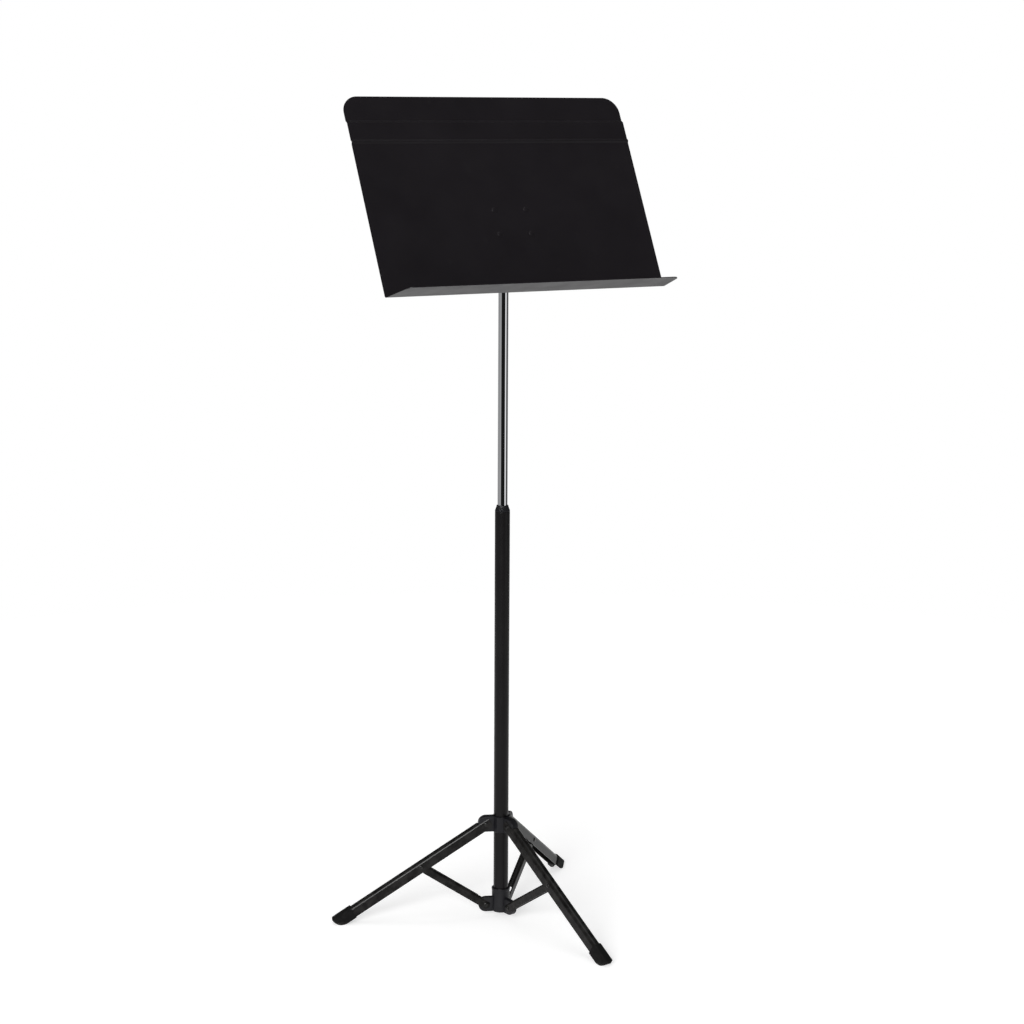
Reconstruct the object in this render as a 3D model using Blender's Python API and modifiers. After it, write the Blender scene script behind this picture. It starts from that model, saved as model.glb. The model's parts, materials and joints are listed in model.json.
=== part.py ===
"""Folding tripod music stand with a sheet-metal desk.

Units are metres and +Z is up. The feet stand on z = 0 and the origin is the middle of the
footprint, so the column's axis stands a little to one side of it. The desk faces -Y.

The column is a black tube with a bright shaft that slides and turns inside it. The desk tilts on
a friction joint at the head of the shaft. Each of the three legs is a pressed channel, open
underneath. It is riveted to a collar that slides on the tube, and a shorter channel, the strut,
ties its middle to a socket at the foot of the tube. Leg and strut have equal arms, so the collar
rises straight up the tube as the legs fold in.
"""

import math

import bmesh
import bpy
from mathutils import Matrix, Vector

GAP = 0.0003
ROUND, MEDIUM_ROUND, SMALL_ROUND = 28, 20, 12

# The column, measured from the floor.
COLUMN_X, COLUMN_Y = 0.0078, 0.0500
TUBE_RADIUS, TUBE_WALL = 0.0124, 0.0012
TUBE_BOTTOM, TUBE_TOP = 0.0160, 0.7004
SHAFT_RADIUS, SHAFT_WALL = 0.0082, 0.0012
SHAFT_BOTTOM, SHAFT_TOP = 0.5000, 1.1420
BUSH_TOP, BUSH_RIM_RADIUS, BUSH_DEPTH = 0.7110, 0.0098, 0.0400
BUTTON_AZIMUTH, BUTTON_Z, BUTTON_RADIUS = math.radians(240), 0.7046, 0.0033

# The socket at the foot of the tube and the collar that slides on it.
PIVOT_RADIUS = 0.0260
SOCKET_BOTTOM, SOCKET_TOP, SOCKET_RADIUS = 0.0112, 0.0525, 0.0155
SOCKET_PIVOT_Z, SOCKET_LUG_RADIUS, SOCKET_LUG_WIDTH = 0.0237, 0.0125, 0.0088
COLLAR_BOTTOM, COLLAR_TOP, COLLAR_APOTHEM = 0.1525, 0.1795, 0.0146
COLLAR_PIVOT_Z, COLLAR_LUG_RADIUS, COLLAR_LUG_WIDTH = 0.1660, 0.0133, 0.0122
SCREW_AZIMUTH, SCREW_Z = math.radians(98.5), 0.0440

# Legs and struts. An arm is the distance between two rivets of one channel.
LEGS = {"left": 158.5, "front": 278.5, "rear": 38.5}
ARM = 0.1313
SPREAD = math.acos((COLLAR_PIVOT_Z - SOCKET_PIVOT_Z) / (2 * ARM))
SHEET = 0.0012
LEG_WIDTH, LEG_CROWN, LEG_SKIRT, LEG_CORNER = 0.0152, 0.0090, 0.0093, 0.0062
LEG_LENGTH, LEG_SLOT, LEG_NOSE = 0.2894, 0.0125, 0.0090
STRUT_WIDTH, STRUT_CROWN, STRUT_SKIRT, STRUT_CORNER = 0.0116, 0.0073, 0.0070, 0.0046
STRUT_LOW_SLOT, STRUT_HIGH_SLOT, STRUT_LOW_NOSE, STRUT_HIGH_NOSE = 0.0200, 0.0170, 0.0070, 0.0049
RIVET_RADIUS, RIVET_HEAD_RADIUS, RIVET_HEAD_HEIGHT = 0.0020, 0.0037, 0.0014
HOLE_CLEARANCE = 0.00022

# The rubber boots.
BOOT_WALL, BOOT_MOUTH, BOOT_TIP, BOOT_INSIDE = 0.0019, 0.2676, 0.3051, 0.3011
BOOT_TOP_BACK, BOOT_TOP_FRONT, BOOT_SKIRT = 0.0110, 0.0099, -0.0100
BELLY_RADIUS, TOE_RADIUS = 0.0215, 0.0065

# The desk. Its panel leans back by TILT from upright about the tilt bolt.
TILT = math.radians(26.6)
BOLT_Z, BOLT_TO_FACE, BOLT_ABOVE_FOLD = 1.1600, 0.0335, 0.1192
DESK_WIDTH, PANEL_HEIGHT, DESK_SHEET = 0.5080, 0.3400, 0.0012
LIP_DEPTH, LIP_ANGLE, LIP_TAPER, LIP_CORNER = 0.0650, math.radians(98.9), 0.0100, 0.0120
FOLD_RADIUS, TOP_CORNER = 0.0030, 0.0280
JOGGLE_DROP, JOGGLE_DEPTH, JOGGLE_RUN = 0.0440, 0.0032, 0.0055
RIVETED_HALF = 0.0350
RIB_DROP, RIB_HEIGHT, RIB_WIDTH = 0.0800, 0.0020, 0.0090
PLATE_WIDTH, PLATE_HEIGHT, PLATE_SHEET = 0.1500, 0.1100, 0.0015
BASE_WIDTH, BASE_HEIGHT, BASE_SHEET = 0.0760, 0.0600, 0.0025
DESK_RIVET_X, DESK_RIVET_U = 0.0290, 0.0210

# The tilt joint at the head of the shaft.
TONGUE_HALF, TONGUE_RADIUS = 0.0090, 0.0110
WASHER, EAR_SHEET, EAR_RADIUS = 0.0012, 0.0025, 0.0110
BOLT_RADIUS, BOLT_HEAD_RADIUS, BOLT_HEAD_HEIGHT = 0.0030, 0.0058, 0.0040
HEAD_BOTTOM, HEAD_RADIUS, HEAD_SHOULDER = 1.1180, 0.0112, 1.1470
EAR_ROOT_HALF = 0.0240
PIN_Z, PIN_RADIUS, PIN_WALL, PIN_HALF_LENGTH = 1.1280, 0.0017, 0.0008, 0.0108

# The clutch at the foot of the shaft.
CARRIER_BOTTOM, CARRIER_TOP, CARRIER_RADIUS = 0.4700, 0.4940, 0.0098
STEM_RADIUS, GROOVE_RADIUS = 0.0040, 0.0030
PAD_WIDTH, PAD_HEIGHT, PAD_INNER, PAD_OUTER = 0.0064, 0.0150, 0.0089, 0.0109

BLACK = {
    "desk_black": ((0.012, 0.011, 0.012, 1), 0.48, 0.0),
    "tube_black": ((0.016, 0.015, 0.016, 1), 0.42, 0.0),
    "channel_black": ((0.020, 0.020, 0.020, 1), 0.50, 0.0),
    "moulded_black": ((0.017, 0.016, 0.019, 1), 0.55, 0.0),
    "rubber_black": ((0.010, 0.010, 0.010, 1), 0.80, 0.0),
    "rivet_black": ((0.030, 0.030, 0.030, 1), 0.40, 0.6),
}
BRIGHT = {
    "shaft_chrome": ((0.80, 0.80, 0.82, 1), 0.08, 1.0),
    "zinc_steel": ((0.55, 0.56, 0.57, 1), 0.30, 1.0),
    "spring_steel": ((0.45, 0.45, 0.46, 1), 0.28, 1.0),
    "nylon_white": ((0.72, 0.70, 0.64, 1), 0.50, 0.0),
}


# ---------------------------------------------------------------- scene and objects


def clear_scene():
    for obj in list(bpy.data.objects):
        bpy.data.objects.remove(obj, do_unlink=True)


def new_collection(name, hidden=False):
    made = bpy.data.collections.new(name)
    bpy.context.scene.collection.children.link(made)
    made.hide_render = hidden
    return made


def new_material(name, colour, roughness, metallic):
    made = bpy.data.materials.new(name)
    made.use_nodes = True
    shader = made.node_tree.nodes["Principled BSDF"]
    shader.inputs["Base Color"].default_value = colour
    shader.inputs["Roughness"].default_value = roughness
    shader.inputs["Metallic"].default_value = metallic
    made.diffuse_color = colour
    return made


def empty(name, parent=None, location=(0, 0, 0), rotation=(0, 0, 0)):
    made = bpy.data.objects.new(name, None)
    made.empty_display_size = 0.02
    PARTS.objects.link(made)
    made.parent = parent
    made.location = location
    made.rotation_euler = rotation
    return made


def place(obj, parent, location=(0, 0, 0), rotation=(0, 0, 0)):
    obj.parent = parent
    obj.location = location
    obj.rotation_euler = rotation
    return obj


def as_part(obj, material):
    PARTS.objects.link(obj)
    obj.data.materials.clear()
    obj.data.materials.append(MATERIALS[material])
    obj.data.shade_smooth()
    obj.data.set_sharp_from_angle(angle=math.radians(35))
    return obj


def as_cutter(obj):
    CUTTERS.objects.link(obj)
    obj.hide_render = True
    obj.display_type = "WIRE"
    return obj


def mesh_object(name, bm):
    mesh = bpy.data.meshes.new(name)
    bm.to_mesh(mesh)
    bm.free()
    return bpy.data.objects.new(name, mesh)


def combine(obj, other, operation):
    modifier = obj.modifiers.new(f"{operation.lower()} {other.name}", "BOOLEAN")
    modifier.operation = operation
    modifier.object = other
    modifier.solver = "EXACT"


def cut(obj, *cutters):
    for cutter in cutters:
        combine(obj, cutter, "DIFFERENCE")
    return obj


# ---------------------------------------------------------------- basic shapes


def arc(centre, radius, start, end, steps):
    """Points on an arc in a plane, from one angle to the other, in degrees."""
    angles = [math.radians(start + (end - start) * i / steps) for i in range(steps + 1)]
    return [(centre[0] + radius * math.cos(a), centre[1] + radius * math.sin(a)) for a in angles]


def block(name, low, high):
    """A box between two corners."""
    bm = bmesh.new()
    middle = (Vector(low) + Vector(high)) / 2
    size = Vector(high) - Vector(low)
    scale = Matrix.Translation(middle) @ Matrix.Diagonal((*size, 1))
    bmesh.ops.create_cube(bm, size=1, matrix=scale)
    return mesh_object(name, bm)


def rod(name, radius, low, high, segments=MEDIUM_ROUND):
    """A cylinder along local Z."""
    bm = bmesh.new()
    lift = Matrix.Translation((0, 0, (low + high) / 2))
    bmesh.ops.create_cone(
        bm, cap_ends=True, segments=segments, radius1=radius, radius2=radius,
        depth=high - low, matrix=lift,
    )
    return mesh_object(name, bm)


def turned(name, profile, steps=MEDIUM_ROUND, closed=False):
    """A shape turned about local Z. The profile holds (radius, height) points, outer side down."""
    bm = bmesh.new()
    points = [bm.verts.new((radius, 0, height)) for radius, height in profile]
    for first, second in zip(points, points[1:]):
        bm.edges.new((first, second))
    if closed:
        bm.edges.new((points[-1], points[0]))
    obj = mesh_object(name, bm)
    screw = obj.modifiers.new("turn", "SCREW")
    screw.steps = screw.render_steps = steps
    screw.use_merge_vertices = True
    screw.merge_threshold = 0.00001
    return obj


def flat_solid(name, outline, low, high):
    """A flat outline in local XY, made solid from one height to the other."""
    curve = bpy.data.curves.new(name, "CURVE")
    curve.dimensions = "2D"
    curve.fill_mode = "BOTH"
    curve.extrude = (high - low) / 2
    spline = curve.splines.new("POLY")
    spline.points.add(len(outline) - 1)
    for point, (x, y) in zip(spline.points, outline):
        point.co = (x, y, 0, 1)
    spline.use_cyclic_u = True
    guide = bpy.data.objects.new(name, curve)
    bpy.context.scene.collection.objects.link(guide)
    graph = bpy.context.evaluated_depsgraph_get()
    mesh = bpy.data.meshes.new_from_object(guide.evaluated_get(graph))
    bpy.data.objects.remove(guide, do_unlink=True)
    bm = bmesh.new()
    bm.from_mesh(mesh)
    bmesh.ops.remove_doubles(bm, verts=bm.verts, dist=0.000001)
    bmesh.ops.translate(bm, verts=bm.verts, vec=(0, 0, (low + high) / 2))
    bmesh.ops.recalc_face_normals(bm, faces=bm.faces)
    bm.to_mesh(mesh)
    bm.free()
    return bpy.data.objects.new(name, mesh)


def side_solid(name, outline, half_width):
    """A flat outline in local XZ, made solid across local Y, with its origin kept."""
    obj = flat_solid(name, outline, -half_width, half_width)
    obj.data.transform(Matrix.Rotation(math.pi / 2, 4, "X"))
    return obj


def section_solid(name, section, start, end):
    """A closed (y, z) section run along local X."""
    obj = flat_solid(name, section, start, end)
    obj.data.transform(Matrix(((0, 0, 1, 0), (1, 0, 0, 0), (0, 1, 0, 0), (0, 0, 0, 1))))
    return obj


def ring_profile(inner, outer, low, high):
    return [(outer, high), (outer, low), (inner, low), (inner, high)]


def hexagon(apothem, turn=0.0):
    corner = apothem / math.cos(math.pi / 6)
    angles = [turn + k * math.pi / 3 for k in range(6)]
    return [(corner * math.cos(a), corner * math.sin(a)) for a in angles]


def rounded_rectangle(width, height, radius, steps=4):
    across, up = width / 2 - radius, height / 2 - radius
    corners = ((across, up, 0), (-across, up, 90), (-across, -up, 180), (across, -up, 270))
    outline = []
    for x, y, turn in corners:
        outline += arc((x, y), radius, turn, turn + 90, steps)
    return outline


# ---------------------------------------------------------------- channels, rivets and boots


def channel_section(width, crown, skirt, corner):
    """Outer (y, z) points of an open channel: up one side, over the rounded web and down."""
    half = width / 2
    right = arc((half - corner, crown - corner), corner, 0, 90, 5)
    left = [(-y, z) for y, z in reversed(right)]
    return [(half, -skirt), *right, *left, (-half, -skirt)]


def channel(name, start, end, width, crown, skirt, corner):
    """A pressed channel along local X with its rivet line at y = z = 0 and its web above it."""
    bm = bmesh.new()
    section = channel_section(width, crown, skirt, corner)
    first = [bm.verts.new((start, y, z)) for y, z in section]
    last = [bm.verts.new((end, y, z)) for y, z in section]
    for i in range(len(section) - 1):
        bm.faces.new((first[i], last[i], last[i + 1], first[i + 1]))
    bmesh.ops.recalc_face_normals(bm, faces=bm.faces)
    top = max(bm.faces, key=lambda face: face.calc_center_median().z)
    if top.normal.z < 0:
        bmesh.ops.reverse_faces(bm, faces=bm.faces)
    obj = mesh_object(name, bm)
    solid = obj.modifiers.new("sheet", "SOLIDIFY")
    solid.thickness = SHEET
    solid.offset = -1
    solid.use_even_offset = True
    return obj


def pin_cutter(name, parent, x, length=0.03, radius=RIVET_RADIUS + HOLE_CLEARANCE):
    """A cutter for a rivet hole across a channel or a lug."""
    cutter = as_cutter(rod(name, radius, -length / 2, length / 2, SMALL_ROUND))
    return place(cutter, parent, (x, 0, 0), (math.pi / 2, 0, 0))


def rivet_profile(half_grip, radius, head_radius, head_height):
    """A rivet with a low dome at each end, as (radius, height) from the top down."""
    dome = [
        (head_radius * math.sin(a), half_grip + head_height * math.cos(a))
        for a in (math.radians(30 * i) for i in range(4))
    ]
    lower = [(r, -z) for r, z in reversed(dome)]
    return [*dome, (radius, half_grip), (radius, -half_grip), *lower]


def rivet(name, parent, x, grip_width):
    profile = rivet_profile(
        grip_width / 2 + GAP * 0.7, RIVET_RADIUS, RIVET_HEAD_RADIUS, RIVET_HEAD_HEIGHT
    )
    obj = as_part(turned(name, profile, SMALL_ROUND), "rivet_black")
    return place(obj, parent, (x, 0, 0), (math.pi / 2, 0, 0))


def leg_outline():
    """The leg seen from the side, about its middle rivet. Its upper end is rounded."""
    top, low, corner = LEG_CROWN, -LEG_SKIRT, 0.0065
    back, end, spare = -ARM - LEG_NOSE, LEG_LENGTH - ARM, 0.001
    nose = arc((back + corner, low + corner), corner, 262, 180, 4)
    nose += arc((back + corner, top - corner), corner, 180, 98, 4)
    return [(end, low - spare), (back + corner + 2 * spare, low - spare), *nose,
            (back + corner + 2 * spare, top + spare), (end, top + spare)]


def make_leg(side, pivot):
    """The leg's channel. Its web is slotted at the top, where the collar's lug goes in."""
    leg = as_part(
        channel(f"leg_{side}", -ARM - 0.012, LEG_LENGTH - ARM, LEG_WIDTH, LEG_CROWN, LEG_SKIRT,
                LEG_CORNER),
        "channel_black",
    )
    place(leg, pivot)
    outline = place(as_cutter(side_solid(f"leg_outline_{side}", leg_outline(), 0.02)), pivot)
    combine(leg, outline, "INTERSECT")
    half = COLLAR_LUG_WIDTH / 2 + GAP * 0.6
    slot = as_cutter(block(f"leg_slot_{side}", (-ARM - 0.03, -half, GAP), (-ARM + LEG_SLOT, half, 0.02)))
    room = as_cutter(rod(f"leg_room_{side}", COLLAR_LUG_RADIUS + 0.0006, -half, half, 32))
    place(slot, pivot)
    place(room, pivot, (-ARM, 0, 0), (math.pi / 2, 0, 0))
    return cut(leg, slot, room, pin_cutter(f"leg_hole_top_{side}", pivot, -ARM),
               pin_cutter(f"leg_hole_mid_{side}", pivot, 0))


def strut_outline():
    """The strut seen from the side, about its lower rivet. Both ends are rounded, and the open
    side tapers at the top so that it folds into the leg."""
    low_nose = arc((0, 0), STRUT_LOW_NOSE, 250, 110, 6)
    high_nose = arc((ARM, 0), STRUT_HIGH_NOSE, 90, -90, 6)
    top = STRUT_CROWN + 0.001
    return [*low_nose, (0.012, top), (ARM - 0.014, top), *high_nose,
            (ARM - 0.014, -STRUT_SKIRT - 0.001), (0.010, -STRUT_SKIRT - 0.001)]


def make_strut(side, pivot):
    strut = as_part(
        channel(f"strut_{side}", -0.010, ARM + 0.010, STRUT_WIDTH, STRUT_CROWN, STRUT_SKIRT,
                STRUT_CORNER),
        "channel_black",
    )
    place(strut, pivot)
    outline = place(as_cutter(side_solid(f"strut_outline_{side}", strut_outline(), 0.02)), pivot)
    combine(strut, outline, "INTERSECT")
    half = STRUT_WIDTH / 2 - SHEET - GAP * 0.3
    low = as_cutter(block(f"strut_slot_low_{side}", (-0.03, -half, 0.0005), (STRUT_LOW_SLOT, half, 0.02)))
    high = as_cutter(
        block(f"strut_slot_high_{side}", (ARM - STRUT_HIGH_SLOT, -half, 0.0005), (ARM + 0.03, half, 0.02))
    )
    place(low, pivot)
    place(high, pivot)
    return cut(strut, low, high, pin_cutter(f"strut_hole_low_{side}", pivot, 0),
               pin_cutter(f"strut_hole_high_{side}", pivot, ARM))


def belly_arc():
    """The boot's rounded underside: it runs on from the skirt, touches the floor and ends at the
    tip. Along and across the leg, from the collar's rivet."""
    centre_z = BOOT_SKIRT + BELLY_RADIUS
    centre_x = (COLLAR_PIVOT_Z + centre_z * math.sin(SPREAD) - BELLY_RADIUS) / math.cos(SPREAD)
    end = -math.degrees(math.acos((BOOT_TIP - centre_x) / BELLY_RADIUS))
    touch = -90 + math.degrees(math.pi / 2 - SPREAD)
    first = arc((centre_x, centre_z), BELLY_RADIUS, -90, touch, 6)
    return first + arc((centre_x, centre_z), BELLY_RADIUS, touch, end, 6)[1:]


def boot_outline():
    corner = 0.0016
    top_front = [(BOOT_TIP, BOOT_TOP_FRONT - corner * 1.4), (BOOT_TIP - 0.0004, BOOT_TOP_FRONT - 0.0006),
                 (BOOT_TIP - corner, BOOT_TOP_FRONT)]
    outline = [(BOOT_MOUTH, BOOT_SKIRT), *belly_arc(), *top_front, (BOOT_MOUTH, BOOT_TOP_BACK)]
    return [(x - ARM, z) for x, z in outline]


def toe_outline(outer):
    """The boot seen from above, with a rounded toe. It runs past the mouth and the sides."""
    front, spare = BOOT_TIP - ARM + 0.0005, 0.001
    corner = arc((front - TOE_RADIUS, outer - TOE_RADIUS), TOE_RADIUS, 0, 75, 5)
    half = [*corner, (front - TOE_RADIUS - 2 * spare, outer + spare),
            (BOOT_MOUTH - ARM - spare, outer + spare)]
    return half + [(x, -y) for x, y in reversed(half)]


def make_boot(side, pivot):
    """A rubber shoe that wraps the top and sides of the leg's end and is open underneath."""
    inner = LEG_WIDTH / 2 + GAP * 0.8
    outer = inner + BOOT_WALL
    shell = channel_section(2 * outer, BOOT_TOP_BACK, 0.02, LEG_CORNER + 0.002)
    hollow = channel_section(2 * inner, LEG_CROWN + GAP * 0.8, 0.04, LEG_CORNER + GAP * 0.8)
    boot = as_part(section_solid(f"boot_{side}", shell, BOOT_MOUTH - ARM, BOOT_TIP - ARM + 0.001),
                   "rubber_black")
    place(boot, pivot)
    outline = place(as_cutter(side_solid(f"boot_outline_{side}", boot_outline(), 0.02)), pivot)
    inside = as_cutter(section_solid(f"boot_inside_{side}", hollow, BOOT_MOUTH - ARM - 0.01,
                                     BOOT_INSIDE - ARM))
    place(inside, pivot)
    combine(boot, outline, "INTERSECT")
    toe = as_cutter(flat_solid(f"boot_toe_{side}", toe_outline(outer), -0.03, 0.03))
    combine(boot, place(toe, pivot), "INTERSECT")
    return cut(boot, inside)


# ---------------------------------------------------------------- socket and collar


def lug_outline(reach_in, pivot_z, radius):
    """A lug in the radial plane, rounded about its rivet. It starts inside the hub's wall."""
    nose = arc((PIVOT_RADIUS, pivot_z), radius, -90, 90, 10)
    return [(reach_in, pivot_z - radius), *nose, (reach_in, pivot_z + radius)]


def add_lugs(hub, name, pivot_z, radius, width):
    for side, azimuth in LEGS.items():
        turn = (0, 0, math.radians(azimuth))
        outline = lug_outline(TUBE_RADIUS - 0.004, pivot_z, radius)
        lug = as_cutter(side_solid(f"{name}_lug_{side}", outline, width / 2))
        combine(hub, place(lug, hub.parent, (0, 0, 0), turn), "UNION")


def drill_lugs(hub, name, pivot_z):
    for side, azimuth in LEGS.items():
        arm = empty(f"{name}_arm_{side}", hub.parent, (0, 0, pivot_z), (0, 0, math.radians(azimuth)))
        cut(hub, pin_cutter(f"{name}_hole_{side}", arm, PIVOT_RADIUS))


def make_socket(column):
    """The foot of the column: a closed cup round the tube, with three lugs for the struts."""
    r, chamfer = SOCKET_RADIUS, 0.0007
    profile = [(0, SOCKET_TOP), (r - chamfer, SOCKET_TOP), (r, SOCKET_TOP - chamfer),
               (r, SOCKET_BOTTOM + chamfer), (r - chamfer, SOCKET_BOTTOM), (0, SOCKET_BOTTOM)]
    socket = place(as_part(turned("base_socket", profile, ROUND), "moulded_black"), column)
    add_lugs(socket, "socket", SOCKET_PIVOT_Z, SOCKET_LUG_RADIUS, SOCKET_LUG_WIDTH)
    bore = as_cutter(rod("socket_bore", TUBE_RADIUS + GAP, TUBE_BOTTOM - GAP, SOCKET_TOP + 0.01, ROUND))
    cut(socket, place(bore, column))
    drill_lugs(socket, "socket", SOCKET_PIVOT_Z)
    return socket


def make_collar(column):
    """The six-sided collar that slides on the tube. Each flat lies parallel to one lug's side."""
    outline = hexagon(COLLAR_APOTHEM, math.radians(LEGS["left"]))
    collar = as_part(flat_solid("sliding_collar", outline, COLLAR_BOTTOM, COLLAR_TOP), "moulded_black")
    place(collar, column)
    bevel = collar.modifiers.new("soft edges", "BEVEL")
    bevel.width, bevel.segments, bevel.limit_method = 0.0008, 1, "ANGLE"
    add_lugs(collar, "collar", COLLAR_PIVOT_Z, COLLAR_LUG_RADIUS, COLLAR_LUG_WIDTH)
    bore = rod("collar_bore", TUBE_RADIUS + GAP * 1.3, COLLAR_BOTTOM - 0.01, COLLAR_TOP + 0.01, ROUND)
    cut(collar, place(as_cutter(bore), column))
    drill_lugs(collar, "collar", COLLAR_PIVOT_Z)
    return collar


# ---------------------------------------------------------------- column and clutch


def make_tube(column):
    inner = TUBE_RADIUS - TUBE_WALL
    profile = ring_profile(inner, TUBE_RADIUS, TUBE_BOTTOM, TUBE_TOP)
    return place(as_part(turned("outer_tube", profile, ROUND, True), "tube_black"), column)


def make_bush(column):
    """The guide bush in the mouth of the tube, with a coned cap round the shaft."""
    bore, sleeve = SHAFT_RADIUS + GAP, TUBE_RADIUS - TUBE_WALL - GAP
    seat, chamfer = TUBE_TOP + GAP, 0.0005
    profile = [(BUSH_RIM_RADIUS - chamfer, BUSH_TOP), (BUSH_RIM_RADIUS, BUSH_TOP - chamfer),
               (TUBE_RADIUS, seat + 0.0015), (TUBE_RADIUS, seat), (sleeve, seat),
               (sleeve, TUBE_TOP - BUSH_DEPTH), (bore, TUBE_TOP - BUSH_DEPTH), (bore, BUSH_TOP)]
    bush = place(as_part(turned("guide_bush", profile, ROUND, True), "moulded_black"), column)
    spot = empty("button_axis", column, (0, 0, BUTTON_Z), (0, math.pi / 2, BUTTON_AZIMUTH))
    pocket = as_cutter(rod("button_pocket", BUTTON_RADIUS + GAP * 0.8, BUSH_RIM_RADIUS, 0.02, MEDIUM_ROUND))
    cut(bush, place(pocket, spot))
    dome = [(BUTTON_RADIUS * math.sin(a), 0.0119 + 0.0010 * math.cos(a))
            for a in (math.radians(30 * i) for i in range(4))]
    profile = [*dome, (BUTTON_RADIUS, BUSH_RIM_RADIUS + GAP), (0, BUSH_RIM_RADIUS + GAP)]
    place(as_part(turned("bush_button", profile, MEDIUM_ROUND), "moulded_black"), spot)
    return bush


def make_socket_screw(column, socket, tube):
    """A pan-head screw at the back that holds the socket on the tube."""
    spot = empty("screw_axis", column, (0, 0, SCREW_Z), (0, math.pi / 2, SCREW_AZIMUTH))
    shank, head, seat = 0.0016, 0.0031, SOCKET_RADIUS + GAP * 0.5
    profile = [(0, seat + 0.0017), (head * 0.7, seat + 0.0015), (head, seat + 0.0007), (head, seat),
               (shank, seat), (shank, TUBE_RADIUS - TUBE_WALL - 0.0015),
               (0, TUBE_RADIUS - TUBE_WALL - 0.0015)]
    place(as_part(turned("socket_screw", profile, SMALL_ROUND), "zinc_steel"), spot)
    for piece in (socket, tube):
        hole = as_cutter(rod(f"screw_hole_{piece.name}", shank + GAP * 0.8, 0.006, 0.02, SMALL_ROUND))
        cut(piece, place(hole, spot))


def make_shaft(turning):
    inner = SHAFT_RADIUS - SHAFT_WALL
    profile = ring_profile(inner, SHAFT_RADIUS, SHAFT_BOTTOM, SHAFT_TOP)
    return place(as_part(turned("inner_shaft", profile, ROUND, True), "shaft_chrome"), turning)


def make_clutch_spindle(turning):
    """The stem on which the clutch turns. Its plug sits in the foot of the shaft."""
    plug, flange_top = SHAFT_RADIUS - SHAFT_WALL - GAP, SHAFT_BOTTOM - GAP
    groove = CARRIER_BOTTOM - GAP
    profile = [(0, SHAFT_BOTTOM + 0.018), (plug, SHAFT_BOTTOM + 0.018), (plug, flange_top),
               (SHAFT_RADIUS, flange_top), (SHAFT_RADIUS, CARRIER_TOP + GAP),
               (STEM_RADIUS, CARRIER_TOP + GAP), (STEM_RADIUS, groove), (GROOVE_RADIUS, groove),
               (GROOVE_RADIUS, groove - 0.0016), (STEM_RADIUS, groove - 0.0016),
               (STEM_RADIUS, groove - 0.0036), (0, groove - 0.0036)]
    place(as_part(turned("clutch_spindle", profile, MEDIUM_ROUND), "zinc_steel"), turning)
    clip = [(0.0068, groove - GAP), (0.0068, groove - 0.0013), (GROOVE_RADIUS + GAP, groove - 0.0013),
            (GROOVE_RADIUS + GAP, groove - GAP)]
    ring = place(as_part(turned("retaining_clip", clip, MEDIUM_ROUND, True), "spring_steel"), turning)
    mouth = as_cutter(block("clip_mouth", (0.0005, -0.0014, groove - 0.01), (0.02, 0.0014, groove + 0.01)))
    cut(ring, place(mouth, turning))


def make_clutch(sliding):
    """The carrier, its three leaf springs and the three pads that rub on the tube."""
    middle = (CARRIER_BOTTOM + CARRIER_TOP) / 2
    bore = STEM_RADIUS + GAP
    profile = ring_profile(bore, CARRIER_RADIUS, CARRIER_BOTTOM, CARRIER_TOP)
    carrier = as_part(turned("clutch_carrier", profile, ROUND, True), "nylon_white")
    place(carrier, sliding)
    pad_curve = place(as_cutter(rod("pad_curve", PAD_OUTER, middle - 0.01, middle + 0.01, 40)), sliding)
    half, tall = PAD_WIDTH / 2, PAD_HEIGHT / 2
    for k in range(3):
        turn = (0, 0, math.radians(30 + 120 * k))
        pocket = block(f"pad_pocket_{k}", (0.0066, -half - GAP, middle - tall - GAP),
                       (0.02, half + GAP, middle + tall + GAP))
        cut(carrier, place(as_cutter(pocket), sliding, (0, 0, 0), turn))
        pad = block(f"clutch_pad_{k + 1}", (PAD_INNER, -half, middle - tall), (0.013, half, middle + tall))
        combine(place(as_part(pad, "moulded_black"), sliding, (0, 0, 0), turn), pad_curve, "INTERSECT")
        leaf = as_part(leaf_spring(f"clutch_spring_{k + 1}", middle, tall, half - GAP), "spring_steel")
        sheet = place(leaf, sliding, (0, 0, 0), turn).modifiers.new("strip", "SOLIDIFY")
        sheet.thickness, sheet.offset = 0.0003, 0


def leaf_spring(name, middle, tall, half):
    """A bowed strip between a pocket's floor and its pad."""
    bm = bmesh.new()
    rows, steps = [], 8
    for i in range(steps + 1):
        along = -1 + 2 * i / steps
        out = 0.0070 + 0.0015 * (1 - along * along)
        z = middle + along * (tall - GAP)
        rows.append([bm.verts.new((out, y, z)) for y in (-half, half)])
    for low, high in zip(rows, rows[1:]):
        bm.faces.new((low[0], low[1], high[1], high[0]))
    return mesh_object(name, bm)


# ---------------------------------------------------------------- head and desk


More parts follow.
